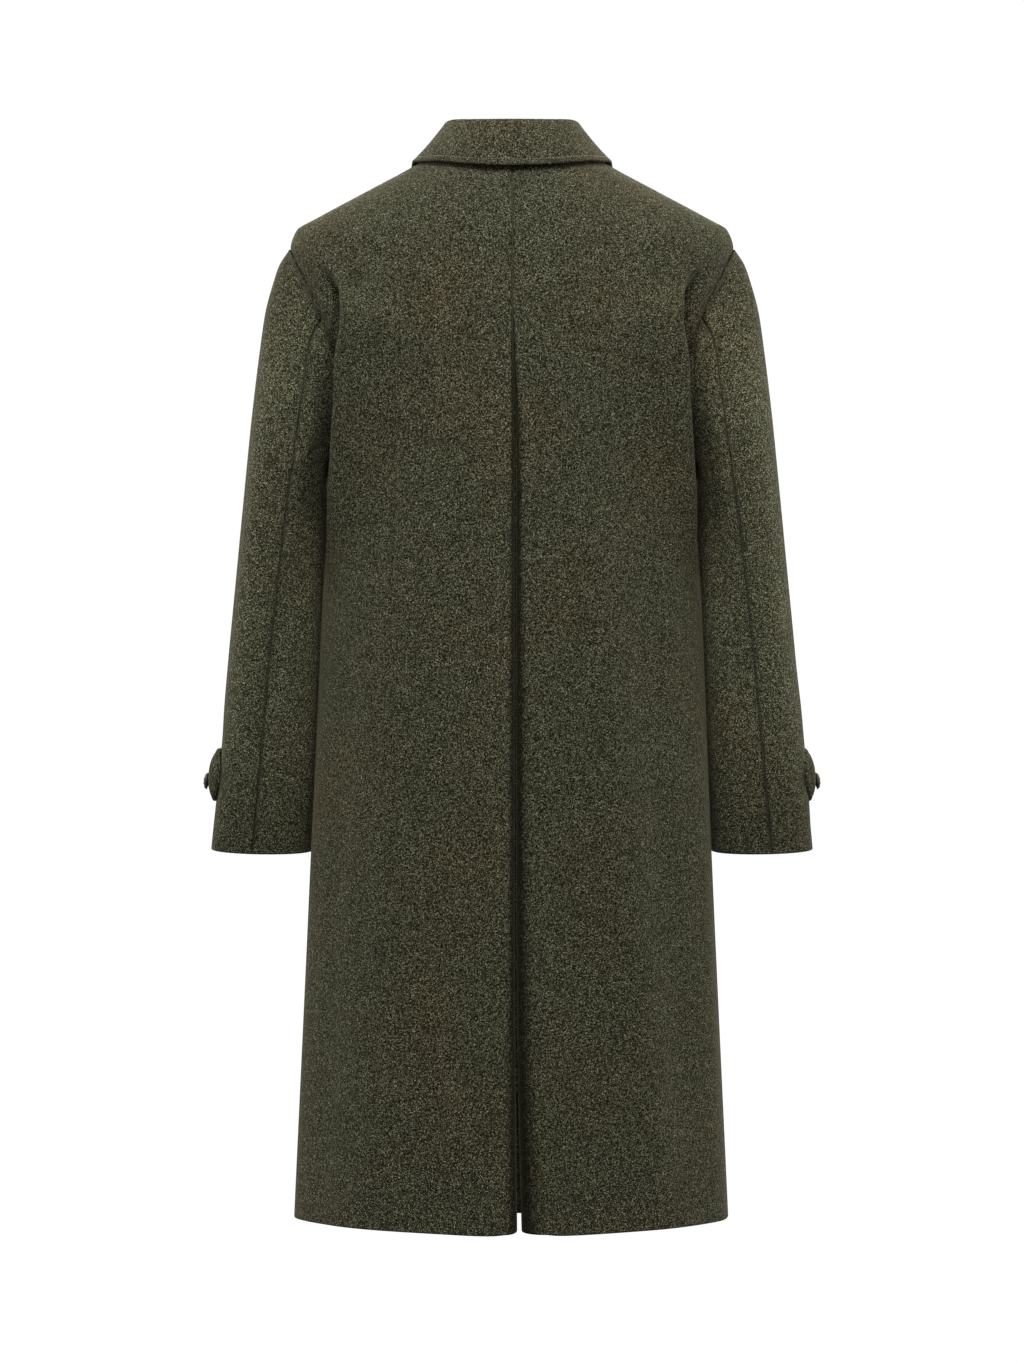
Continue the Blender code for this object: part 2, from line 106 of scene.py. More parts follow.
def crowdedStops(length, step, first, last):
    # places from 0 to length: close ones at the ends, even steps of about the given size between
    first, last = np.array(first), np.array(last)
    room = length - first[-1] - last[-1]
    even = np.linspace(first[-1], length - last[-1], max(3, int(round(room / step)) + 1))
    return np.concatenate([first[:-1], even, length - last[-2::-1]])


cloth = {
    "wall": 2.5,
    "armholeGap": 0.1,
    "edgeRound": 1.4,
    # stops crowd towards rounded edges, stitched edges and creases, the last in parts of a width
    "nearEdge": np.array([0.0, 0.3, 0.8, 1.5, 2.6]),
    "nearStitch": np.array([0.0, 0.4, 1.0, 1.9, 3.2, 4.6, 5.3, 6.0, 6.7, 7.4, 9.0]),
    "plainEnd": (0.0,),
    "nearCrease": (0.0, 0.006, 0.012),
    "stitchIn": 6.0,
    "grooveDeep": 0.5,
    "grooveWide": 0.8,
    "seamDip": 2.3,
    "seamDipWide": 2.1,
    "seamDipFade": 14.0,
    # painted shade beside seams: its width, its reach from the sleeve's armhole edge and its strength
    "pressWide": 1.6,
    "pressHead": 5.5,
    "pressOutside": 0.9,
    "foldStart": 0.35,
    "foldEnd": 0.1,
}


def edgeDistance(grid, reach):
    # distance from each point to the nearest point on the grid's rim, each rim edge taken as a segment
    rim = np.concatenate([grid[0, :-1], grid[:-1, -1], grid[-1, :0:-1], grid[:0:-1, 0]])
    step = np.roll(rim, -1, axis=0) - rim
    square = np.maximum((step**2).sum(-1), 1e-12)
    points = grid.reshape(-1, 3)
    found = np.full(len(points), float(reach))
    block = 2000
    for start in range(0, len(points), block):
        away = points[start : start + block, None] - rim
        along = np.clip((away * step).sum(-1) / square, 0, 1)
        gap = away - along[..., None] * step
        found[start : start + block] = np.sqrt((gap**2).sum(-1).min(axis=1))
    return np.minimum(found, reach).reshape(grid.shape[:2])


def lengthAlong(grid, axis):
    # length from the grid's first row or column to each point
    step = np.linalg.norm(np.diff(grid, axis=axis), axis=-1)
    return np.concatenate([0 * step.take([0], axis=axis), step.cumsum(axis=axis)], axis=axis)


def besideSeams(grid, first, last, wide):
    # nearness to the sewn first and last columns: bell(length from the column / width) for each
    fromFirst = lengthAlong(grid, 1)
    return first * bell(fromFirst / wide) + last * bell((fromFirst[:, -1:] - fromFirst) / wide)


def seamValley(grid, first, last):
    # how far the cloth is drawn in beside its sewn columns: depth * nearness, fading out at the hem
    toHem = lengthAlong(grid, 0)
    toHem = toHem[-1:] - toHem
    drawn = besideSeams(grid, first, last, cloth["seamDipWide"]) * softStep(toHem / cloth["seamDipFade"])
    return (cloth["seamDip"] * drawn)[..., None]


def wovenMap(grid, zeroColumn):
    # UV in metres: length along each row from one column, and length down the middle column
    along = lengthAlong(grid, 1)
    along = along - along[:, zeroColumn : zeroColumn + 1]
    down = lengthAlong(grid[:, grid.shape[1] // 2], 0)
    return np.stack([along, np.broadcast_to(-down[:, None], along.shape)], axis=-1) * mm


def addMesh(name, points, quads, finish, uv=None, attributes=None):
    # a smooth closed mesh from arrays, its faces turned out where the signed volume is negative
    a, b, c, d = (points[quads[:, corner]] for corner in range(4))
    volume = np.einsum("ij,ij->i", a, np.cross(b, c)) + np.einsum("ij,ij->i", a, np.cross(c, d))
    if volume.sum() < 0:
        quads = quads[:, ::-1]
    mesh = bpy.data.meshes.new(name)
    mesh.from_pydata((points * mm).tolist(), [], quads.tolist())
    if uv is not None:
        corners = np.empty(len(mesh.loops), dtype=np.int32)
        mesh.loops.foreach_get("vertex_index", corners)
        mesh.uv_layers.new(name="weave").data.foreach_set("uv", uv[corners].ravel())
    for label, values in (attributes or {}).items():
        mesh.attributes.new(label, "FLOAT", "POINT").data.foreach_set("value", values)
    mesh.shade_smooth()
    mesh.materials.append(finish)
    made = bpy.data.objects.new(name, mesh)
    bpy.context.scene.collection.objects.link(made)
    return made


def finishPiece(piece, nodes):
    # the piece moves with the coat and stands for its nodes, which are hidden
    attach(piece, "root")
    if nodes:
        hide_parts(*nodes)


def doubleGrid(rows, columns):
    # two grids of points with one rim: which points of both are kept, and a quad for each cell, turned over
    # on the second grid
    count = rows * columns
    index = np.arange(count).reshape(rows, columns)
    inner = index + count
    onRim = np.ones((rows, columns), bool)
    onRim[1:-1, 1:-1] = False
    inner[onRim] = index[onRim]
    kept = np.concatenate([index.ravel(), inner[1:-1, 1:-1].ravel()])
    renumber = np.zeros(2 * count, int)
    renumber[kept] = np.arange(len(kept))

    def cells(grid):
        # the four corners of each cell
        return np.stack([grid[:-1, :-1], grid[:-1, 1:], grid[1:, 1:], grid[1:, :-1]], axis=-1).reshape(-1, 4)

    return kept, renumber[np.concatenate([cells(index), cells(inner)[:, ::-1]])]


def addShell(node, outer, normals, wall, side, finish, edgeRound=None, zeroColumn=0, press=None):
    # the cloth of a node, a rounded wall: the middle face plus and minus half the wall, closing to nothing as
    # a quarter circle at the rim, where both faces share their points; the stored value above 0 darkens the
    # colour as painted shade, and below 0 lightens it as painted light
    edgeRound = edgeRound or cloth["edgeRound"]
    middle = outer - normals * wall / 2
    near = np.minimum(edgeDistance(middle, edgeRound) / edgeRound, 1)
    half = (wall / 2 * np.sqrt(1 - (1 - near) ** 2))[..., None]
    kept, quads = doubleGrid(*outer.shape[:2])
    points = np.stack([middle + half * normals, middle - half * normals]).reshape(-1, 3)
    uv = np.tile(wovenMap(outer, zeroColumn).reshape(-1, 2), (2, 1))
    pressed = np.zeros(outer.shape[:2]) if press is None else np.clip(press, -1, 1)
    attributes = {"press": np.tile(pressed.ravel(), 2)[kept]}
    mirrored = points[kept] * np.array([side, 1, 1])
    piece = addMesh(f"{node}_cloth", mirrored, quads, finish, uv[kept], attributes)
    finishPiece(piece, [node])
    return piece


class Wire:
    # a node socket whose operators add Math nodes
    def __init__(self, finish, socket):
        self.finish = finish
        self.socket = socket

    def math(self, operation, *others):
        # a Math node on this value and the others
        return self.finish.node("ShaderNodeMath", {"operation": operation}, dict(enumerate((self,) + others)))

    def __add__(self, other):
        return self.math("ADD", other)

    def __mul__(self, other):
        return self.math("MULTIPLY", other)

    def __sub__(self, other):
        return self.math("SUBTRACT", other)

    def __rsub__(self, other):
        return self.finish.node("ShaderNodeMath", {"operation": "SUBTRACT"}, {0: other, 1: self})

    def __pow__(self, other):
        return self.math("POWER", other)

    __radd__ = __add__
    __rmul__ = __mul__


class NodeTree:
    # a node tree under construction
    def __init__(self, tree):
        self.tree = tree

    def put(self, socket, value):
        # a link from a wire, or a plain value on the socket
        if isinstance(value, Wire):
            self.tree.links.new(value.socket, socket)
        else:
            socket.default_value = value

    def node(self, kind, settings=None, sockets=None, output=0):
        # a node with its settings first, then its sockets' values or links; gives one output
        made = self.tree.nodes.new(kind)
        for key, value in (settings or {}).items():
            if key == "stops":
                ramp = made.color_ramp
                while len(ramp.elements) < len(value):
                    ramp.elements.new(1.0)
                for element, (place, colour) in zip(ramp.elements, value):
                    element.position = place
                    element.color = (*colour, 1.0)
            else:
                setattr(made, key, value)
        for key, value in (sockets or {}).items():
            self.put(made.inputs[key], value)
        return Wire(self, made.outputs[output])

    def blend(self, factor, first, second, way="MIX"):
        # a colour Mix of two colours, by its own blend way
        return self.node(
            "ShaderNodeMix", {"data_type": "RGBA", "blend_type": way}, {0: factor, 6: first, 7: second}, 2
        )


class Finish(NodeTree):
    # a material with one main shader
    def __init__(self, name):
        self.material = bpy.data.materials.new(name)
        self.material.use_nodes = True
        super().__init__(self.material.node_tree)
        self.shader = self.tree.nodes["Principled BSDF"]

    def set(self, **sockets):
        # sockets of the shader, named in camelCase
        named = {key.name.replace(" ", "").lower(): key for key in self.shader.inputs}
        for key, value in sockets.items():
            self.put(named[key.lower()], value)


wool = {
    # sizes in metres: a fleck, a fibre, how far noise wavers the flecks, and a patch of colour
    "fleck": 0.00064,
    "fibre": 0.00045,
    "waver": 0.0006,
    "patch": 0.11,
    "upright": 0.85,
    "fibreNoise": {"Detail": 2.0, "Roughness": 0.6},
    "waverNoise": {"Scale": 900.0, "Detail": 1.0},
    "patchNoise": {"Detail": 4.0},
    # the place on the ramp: shares of fleck and fibre, and a lift
    "fleckShare": 0.94,
    "fibreShare": 0.5,
    "rampLift": 0.03,
    "stops": (
        (0.0, (0.0009, 0.0008, 0.0003)),
        (0.38, (0.0035, 0.0033, 0.0016)),
        (0.62, (0.0114, 0.0110, 0.0063)),
        (0.8, (0.0250, 0.0242, 0.0145)),
        (0.92, (0.0580, 0.0560, 0.0358)),
        (1.0, (0.1250, 0.1210, 0.0810)),
    ),
    # each tint, and the part of the patch noise over which it comes in
    "tints": (((1.1, 0.98, 0.92, 1.0), 0.5, 0.72), ((0.94, 1.0, 0.98, 1.0), 0.5, 0.28)),
    # how strongly the stored painted shade and light change the colour
    "pressed": 0.85,
    "fleckHeight": 0.5,
    "nap": {"Strength": 0.5, "Distance": 0.0007},
    "shader": {
        "roughness": 0.92,
        "sheenWeight": 0.06,
        "sheenRoughness": 0.4,
        "sheenTint": (0.62, 0.58, 0.36, 1.0),
        "specularIorLevel": 0.02,
    },
}


def woolFinish(name, shade):
    # melange wool: random cells of yarn in space, wavered by noise and mixed with finer fibres, coloured
    # through a ramp, with wide brown and moss patches, and scaled by 1 minus the stored painted shade and
    # light; flecks and fibres together make the nap's bump
    made = Finish(name)
    place = made.node("ShaderNodeTexCoord", output=3)
    spread = made.node("ShaderNodeMapping", None, {"Vector": place, "Scale": (1.0, 1.0, wool["upright"])})
    waver = made.node("ShaderNodeTexNoise", None, {"Vector": place, **wool["waverNoise"]}, 1)
    centred = made.node("ShaderNodeVectorMath", {"operation": "SUBTRACT"}, {0: waver, 1: (0.5, 0.5, 0.5)})
    bent = made.node("ShaderNodeVectorMath", {"operation": "SCALE"}, {0: centred, "Scale": wool["waver"]})
    cells = made.node("ShaderNodeVectorMath", {"operation": "ADD"}, {0: spread, 1: bent})
    fleckColour = made.node("ShaderNodeTexVoronoi", None, {"Vector": cells, "Scale": 1 / wool["fleck"]}, 1)
    fleck = made.node("ShaderNodeSeparateColor", None, {"Color": fleckColour})
    fibre = made.node(
        "ShaderNodeTexNoise", None, {"Vector": spread, "Scale": 1 / wool["fibre"], **wool["fibreNoise"]}
    )
    pick = fleck * wool["fleckShare"] + (fibre - 0.5) * wool["fibreShare"] + wool["rampLift"]
    colour = made.node("ShaderNodeValToRGB", {"stops": wool["stops"]}, {"Fac": pick})
    patch = made.node(
        "ShaderNodeTexNoise", None, {"Vector": place, "Scale": 1 / wool["patch"], **wool["patchNoise"]}
    )
    for tint, start, full in wool["tints"]:
        share = made.node("ShaderNodeMapRange", None, {"Value": patch, "From Min": start, "From Max": full})
        colour = made.blend(share, colour, tint, "MULTIPLY")
    # painted shade and light: the stored value darkens the colour above 0 and lightens it below 0
    pressed = made.node("ShaderNodeAttribute", {"attribute_name": "press"}, None, 2)
    tone = (1.0 - pressed * wool["pressed"]) * shade
    colour = made.node("ShaderNodeVectorMath", {"operation": "SCALE"}, {0: colour, "Scale": tone})
    height = fleck * wool["fleckHeight"] + fibre
    nap = made.node("ShaderNodeBump", None, {"Height": height, **wool["nap"]})
    made.set(baseColor=colour, normal=nap, **wool["shader"])
    return made.material


leather = {
    "dark": (0.008, 0.0048, 0.003, 1.0),
    "light": (0.028, 0.0158, 0.0092, 1.0),
    "grain": 0.0009,
    "grainBump": {"Strength": 0.35, "Distance": 0.0003},
    "stainNoise": {"Scale": 300.0, "Detail": 4.0},
    "stainShare": 0.7,
    "crestPower": 1.6,
    "crestShare": 0.75,
    "roughness": 0.7,
    "crestPolish": 0.2,
    "specularIorLevel": 0.06,
}


def leatherFinish(name):
    # dark brown leather: lighter and smoother on the strands' crests by a stored height, with pebble grain
    made = Finish(name)
    place = made.node("ShaderNodeTexCoord", output=3)
    crest = made.node("ShaderNodeAttribute", {"attribute_name": "crest"}, None, 2)
    grain = made.node("ShaderNodeTexVoronoi", None, {"Vector": place, "Scale": 1 / leather["grain"]})
    stain = made.node("ShaderNodeTexNoise", None, {"Vector": place, **leather["stainNoise"]})
    worn = crest ** leather["crestPower"] * leather["crestShare"] + (stain - 0.5) * leather["stainShare"]
    colour = made.blend(worn, leather["dark"], leather["light"])
    bump = made.node("ShaderNodeBump", None, {"Height": grain, **leather["grainBump"]})
    roughness = leather["roughness"] - crest * leather["crestPolish"]
    made.set(
        baseColor=colour, roughness=roughness, normal=bump, specularIorLevel=leather["specularIorLevel"]
    )
    return made.material


thread = {
    "dark": (0.013, 0.013, 0.008, 1.0),
    "light": (0.03, 0.028, 0.016, 1.0),
    "fibreNoise": {"Scale": 2500.0, "Detail": 2.0},
    "shader": {"roughness": 0.7, "sheenWeight": 0.2},
}


def threadFinish(name):
    # olive sewing thread: two colours mixed by a fine fibre noise
    made = Finish(name)
    place = made.node("ShaderNodeTexCoord", output=3)
    fibre = made.node("ShaderNodeTexNoise", None, {"Vector": place, **thread["fibreNoise"]})
    made.set(baseColor=made.blend(fibre, thread["dark"], thread["light"]), **thread["shader"])
    return made.material


coatWool = woolFinish("melangeWool", 1.0)
insideWool = woolFinish("melangeWoolInside", 0.85)
buttonLeather = leatherFinish("wovenLeather")
oliveThread = threadFinish("oliveThread")
print("finishes made")


# the body: one ring for each height on the side line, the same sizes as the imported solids
coatBody = {
    "neck": 10.0,
    "shoulderTip": -91.5,
    "underarm": -330.0,
    "hem": -1105.0,
    "side": 90.0,
    "armholeBack": 28.0,
    "armholeFront": 32.0,
    "foldToSeam": 2.3,
    "foldToBack": 16.0,
    "hollowPast": 6.5,
    "hollowWide": 3.6,
    "hollowDeep": 0.85,
    "shoulderStep": 3.2,
    "armholeStops": 76,
    "skirtStep": 5.0,
    "columns": (
        "level", "backZ", "frontZ", "halfWidth", "backDepth", "frontDepth", "foldX", "foldY", "foldAngle"
    ),
    "rings": (
        (10.0, 0, -78, 80, 73, 73, 0, 0, 58),
        (-5.5, -22, -93, 105, 86, 84, 0, 0, 58),
        (-34, -56, -118, 158, 101, 99, 0, 0, 58),
        (-60.3, -90, -142, 207, 110, 108, 0, 0, 58),
        (-71.5, -106, -153, 226, 113, 111.5, 0, 0, 58),
        (-91.5, -141, -177, 232.5, 119, 118, 0, 0, 57),
        (-112, -157, -189.5, 229.8, 121, 121, 3, 3, 50),
        (-150, -185, -212, 221, 124, 126, 15, 15.5, 46.8),
        (-212, -230, -250, 205, 127, 132, 19, 17.5, 53),
        (-250, -260, -276, 198, 128, 134, 20, 17, 55.8),
        (-330, -332, -338, 191.5, 129.5, 137, 17, 13, 64.6),
        (-460, -460, -460, 199, 133, 140, 0, 0, 76),
        (-730, -730, -730, 210, 140, 147, 0, 0, 76),
        (-1105, -1105, -1105, 227, 151, 156, 0, 0, 76),
    ),
    # lengths or angles over which drapes fade to nothing at what holds the cloth
    "heldArmhole": 10.0,
    "heldUnderarm": 90.0,
    "heldBack": 8.0,
    "heldFront": 12.0,
    "heldFrontEnd": 174.0,
    "heldNeck": 60.0,
    # soft drapes on each half: from angle and level to angle and level, width in degrees, height
    "drapes": {
        1: (
            (31, -230, 40, -1160, 9, 2.6),
            (17, -260, 21, -1160, 6, -1.6),
            (58, -420, 61, -1160, 7, -2.4),
            (78, -520, 80, -1160, 8, 3.0),
            (103, -430, 106, -1160, 8, -3.0),
            (122, -380, 124, -1160, 9, 4.2),
            (141, -330, 139, -1160, 7, -2.8),
            (156, -300, 155, -1160, 7, 2.6),
        ),
        -1: (
            (21, -140, 43, -1160, 8, 4.6),
            (39, -230, 55, -1050, 8, -3.4),
            (9, -330, 17, -1160, 6, -1.8),
            (70, -450, 73, -1160, 8, 3.2),
            (97, -400, 101, -1160, 8, -2.6),
            (117, -350, 119, -1160, 8, 3.8),
            (135, -420, 133, -1160, 7, -3.2),
            (152, -360, 150, -1160, 8, 2.4),
        ),
    },
}
rings = Table(coatBody["columns"], coatBody["rings"])


def body(angle, level):
    # outer face of the body: x = half width * sin + fold, y = depth * cos + fold, and z goes from the side
    # line's height to the middle's by cos squared; angle 0 is centre back and 180 centre front. The fold is
    # a bell, steep on the seam's side, less a hollow just past it
    angle, level = np.broadcast_arrays(np.asarray(angle, float), np.asarray(level, float))
    sine, cosine = np.sin(np.radians(angle)), np.cos(np.radians(angle))
    atBack = cosine >= 0
    depth = np.where(atBack, rings.at("backDepth", level), rings.at("frontDepth", level))
    middleZ = np.where(atBack, rings.at("backZ", level), rings.at("frontZ", level))
    pastFold = angle - rings.at("foldAngle", level)
    fold = bell(pastFold / np.where(pastFold > 0, coatBody["foldToSeam"], coatBody["foldToBack"]))
    hollow = bell((pastFold - coatBody["hollowPast"]) / coatBody["hollowWide"])
    fold = fold - coatBody["hollowDeep"] * hollow * softStep(pastFold / coatBody["hollowPast"])
    x = rings.at("halfWidth", level) * sine + rings.at("foldX", level) * fold
    y = depth * cosine + rings.at("foldY", level) * fold
    z = level + (middleZ - level) * cosine**2
    return np.stack([x, y, z], axis=-1)


def armhole(turn):
    # angle and level where the armhole runs: turn 0 at the shoulder tip, 90 behind, 180 below
    sine, cosine = np.sin(np.radians(turn)), np.cos(np.radians(turn))
    angle = coatBody["side"] - np.where(sine > 0, coatBody["armholeBack"], coatBody["armholeFront"]) * sine
    drop = coatBody["underarm"] - coatBody["shoulderTip"]
    return angle, coatBody["shoulderTip"] + drop * (1 - cosine) / 2


def directions(surface, first, second):
    # the surface's two directions at each point, by small steps either way
    byFirst = surface(first + tiny, second) - surface(first - tiny, second)
    bySecond = surface(first, second + tiny) - surface(first, second - tiny)
    return byFirst, bySecond


def outward(surface, first, second):
    # the cross product of the surface's two directions
    byFirst, bySecond = directions(surface, first, second)
    return unit(np.cross(bySecond, byFirst))


def softFolds(across, down, folds):
    # sum of ridges and troughs: height * bell(distance from the fold's line / width), faded at its ends
    total = np.zeros(np.broadcast(across, down).shape)
    for fromAcross, fromDown, toAcross, toDown, width, height in folds:
        run = (down - fromDown) / (toDown - fromDown)
        line = fromAcross + (toAcross - fromAcross) * np.clip(run, 0, 1)
        fade = softStep(run / cloth["foldStart"]) * softStep((1 - run) / cloth["foldEnd"])
        total = total + height * fade * bell((across - line) / width)
    return total


def drapeLift(angle, level, side):
    # the drapes of one half, held flat at the armhole, the shoulder seam, the neck and both middles
    drop = coatBody["underarm"] - coatBody["shoulderTip"]
    turn = np.degrees(np.arccos(np.clip(1 - 2 * (level - coatBody["shoulderTip"]) / drop, -1, 1)))
    reach = np.where(angle < coatBody["side"], coatBody["armholeBack"], coatBody["armholeFront"])
    fromArmhole = np.abs(angle - coatBody["side"]) - reach * np.sin(np.radians(turn))
    below = (coatBody["underarm"] - level) / coatBody["heldUnderarm"]
    held = softStep(np.maximum(fromArmhole / coatBody["heldArmhole"], below))
    held = held * softStep(angle / coatBody["heldBack"])
    held = held * softStep((coatBody["heldFrontEnd"] - angle) / coatBody["heldFront"])
    held = held * softStep((coatBody["neck"] - level) / coatBody["heldNeck"])
    return held * softFolds(angle, level, coatBody["drapes"][side])


def drapedBody(side):
    # the body moved out by the drapes of one half
    def surface(angle, level):
        # the body plus lift along its own outward direction
        return body(angle, level) + drapeLift(angle, level, side)[..., None] * outward(body, angle, level)

    return surface


def panelRows(way):
    # levels from neck to hem with each row's turn on the armhole, which is behind for way 1, before for -1
    def downFrom(top, low, step):
        # levels from top to low, close at both ends
        return top - crowdedStops(top - low, step, cloth["nearEdge"], cloth["nearEdge"])

    shoulder = downFrom(coatBody["neck"], coatBody["shoulderTip"], coatBody["shoulderStep"])
    turns = np.linspace(0, 180, coatBody["armholeStops"])
    skirt = downFrom(coatBody["underarm"], coatBody["hem"], coatBody["skirtStep"])
    level = np.concatenate([shoulder[:-1], armhole(turns)[1], skirt[1:]])
    turn = np.concatenate([np.zeros(len(shoulder) - 1), turns, np.full(len(skirt) - 1, 180.0)])
    return level[:, None], way * turn[:, None]


backHalf = {
    "flat": (0.42, 1.15),
    "area": 0.36,
    # where the halves meet: a roll this deep and wide, the gap and its middle, and what is folded under
    "columns": ("level", "deep", "wideLeft", "wideRight", "gap", "lineX", "under"),
    "pleat": (
        (10, 3.6, 1.7, 1.7, 0.0, -0.5, 12),
        (-105, 3.6, 1.7, 1.7, 0.0, -0.5, 12),
        (-130, 3.6, 2.1, 2.6, 0.0, -0.6, 18),
        (-165, 4.0, 3.0, 4.4, 0.0, -0.8, 60),
        (-305, 6.0, 5.5, 8.5, 2.0, -3.4, 62),
        (-565, 8.0, 7.5, 12.5, 2.4, -3.7, 64),
        (-875, 11.0, 10.5, 19.0, 3.2, -4.6, 66),
        (-1105, 14.0, 13.5, 25.0, 6.6, -8.3, 70),
    ),
    "acrossStep": 0.0086,
    "acrossAbout": 300.0,
    "underStep": 0.09,
    "underAbout": 70.0,
    "rollTurns": 17,
    "seamDraw": 0.3,
    "seamEnd": -150.0,
    "seamEase": 40.0,
    # painted shade in the pleat's roll: full past this bend, less along the sewn centre seam by this share
    "pressBend": 1.0,
    "pressSewn": 0.3,
    "hemDrop": 5.0,
    "hemDropWide": 70.0,
    "hemRise": 3.2,
    "hemRiseWide": 13.0,
    "hemCorner": 5.0,
    "hemReach": 45.0,
}
pleat = Table(backHalf["columns"], backHalf["pleat"])


def seamPart(level):
    # 1 along the centre back seam, easing to 0 where the pleat opens
    return softStep((level - backHalf["seamEnd"]) / backHalf["seamEase"])


def addBack(sideName, side):
    # a back half: the body from side to centre, then half an ellipse for the roll, then the part folded
    # under behind it; the hem drops towards the pleat and rounds up at its corner
    level, turn = panelRows(1)
    surface = drapedBody(side)
    deep = pleat.at("deep", level)
    wide = pleat.at("wideLeft" if side > 0 else "wideRight", level)
    width = rings.at("halfWidth", level)
    start = side * pleat.at("lineX", level) + pleat.at("gap", level) / 2 + wide
    centreAngle = np.degrees(np.arcsin(start / width))
    sideAngle = armhole(turn)[0]
    sideStops = cloth["nearEdge"] / backHalf["acrossAbout"]
    across = crowdedStops(1.0, backHalf["acrossStep"], sideStops, cloth["nearCrease"])[None, :]
    angle = sideAngle + (centreAngle - sideAngle) * across
    face, faceOut = surface(angle, level), outward(surface, angle, level)
    sewnBack = backHalf["seamDraw"] * seamPart(level)
    face = face - seamValley(face, level < coatBody["underarm"], sewnBack) * faceOut

    top, topOut = face[:, -1:], faceOut[:, -1:]
    inward = -unit(directions(body, centreAngle, level)[0])
    bend = np.radians(np.linspace(0, 180, backHalf["rollTurns"])[1:])[None, :, None]
    wideRoll, deepRoll = wide[..., None], deep[..., None]
    roll = top + wideRoll * np.sin(bend) * inward - deepRoll * (1 - np.cos(bend)) * topOut
    rollOut = unit(np.sin(bend) / wideRoll * inward + np.cos(bend) / deepRoll * topOut)

    underStops = cloth["nearEdge"] / backHalf["underAbout"]
    underPlaces = crowdedStops(1.0, backHalf["underStep"], cloth["plainEnd"], underStops)[None, 1:]
    underAngle = centreAngle + np.degrees(pleat.at("under", level) / width) * underPlaces
    underOut = outward(body, underAngle, level)
    under = body(underAngle, level) - 2 * deepRoll * underOut

    nearHem = softStep(1 - (level - coatBody["hem"]) / backHalf["hemReach"])
    fromRoll = np.abs(face[..., 0] - top[..., 0])
    faceRise = backHalf["hemRise"] * np.exp(-fromRoll / backHalf["hemRiseWide"])
    faceRise = (faceRise - backHalf["hemDrop"] * np.exp(-fromRoll / backHalf["hemDropWide"])) * nearHem
    rollEnd = backHalf["hemRise"] - backHalf["hemDrop"]
    rollRise = (rollEnd + backHalf["hemCorner"] * (1 - np.cos(bend[..., 0])) / 2) * nearHem
    underRise = (rollEnd + backHalf["hemCorner"]) * nearHem
    face = face + faceRise[..., None] * upward
    roll = roll + rollRise[..., None] * upward
    under = under + underRise[..., None] * upward

    outer = np.concatenate([face, roll, under], axis=1)
    normals = np.concatenate([faceOut, rollOut, -underOut], axis=1)
    faceWidth = face.shape[1]
    # painted shade beside the armhole and side seam
    press = cloth["pressOutside"] * besideSeams(outer, 1, 0, cloth["pressWide"])
    # painted shade in the pleat's roll, less along the sewn centre seam
    paintedPleatShade = softStep(bend[..., 0] / backHalf["pressBend"]) * (1 - backHalf["pressSewn"] * seamPart(level))
    press[:, faceWidth : faceWidth + bend.shape[1]] = paintedPleatShade
    node = f"back_{sideName}"
    piece = addShell(
        node, outer, normals, cloth["wall"], side, coatWool, zeroColumn=faceWidth - 1, press=press
    )


underlay = {
    "top": -165.0,
    "hem": -1087.0,
    "behind": 0.8,
    "inset": 3.0,
    "levelStep": 6.0,
    "acrossStep": 0.07,
    "halfAbout": 67.0,
    "flat": (0.135, 0.92),
    "area": 0.12,
}


def addUnderlay():
    # the strip behind the pleat: the body set in by twice the roll's depth and a little more
    top, hem = underlay["top"], underlay["hem"]
    level = top - crowdedStops(top - hem, underlay["levelStep"], cloth["nearEdge"], cloth["nearEdge"])[:, None]
    edge = cloth["nearEdge"] / underlay["halfAbout"]
    across = crowdedStops(2.0, underlay["acrossStep"], edge, edge)[None, :] - 1
    reach = pleat.at("under", level) - underlay["inset"]
    angle = np.degrees(reach * across / rings.at("halfWidth", level))
    out = outward(body, angle, level)
    behind = 2 * pleat.at("deep", level) + underlay["behind"]
    outer = body(angle, level) - behind[..., None] * out
    piece = addShell("pleat_underlay", outer, out, cloth["wall"], 1, coatWool)


frontHalf = {
    "lap": 25.0,
    "lapClear": 6.0,
    "lapBlend": 50.0,
    "neckBlend": 6.0,
    "neckDown": 80.0,
    "lapUnder": 3.7,
    "acrossStep": 0.0135,
    "acrossAbout": 320.0,
    "flat": (0.345, 1.08),
    "area": 0.31,
}


def lapAngle(level, past):
    # the angle a length past the centre front
    return 180 + np.degrees(np.arcsin(past / rings.at("halfWidth", level)))


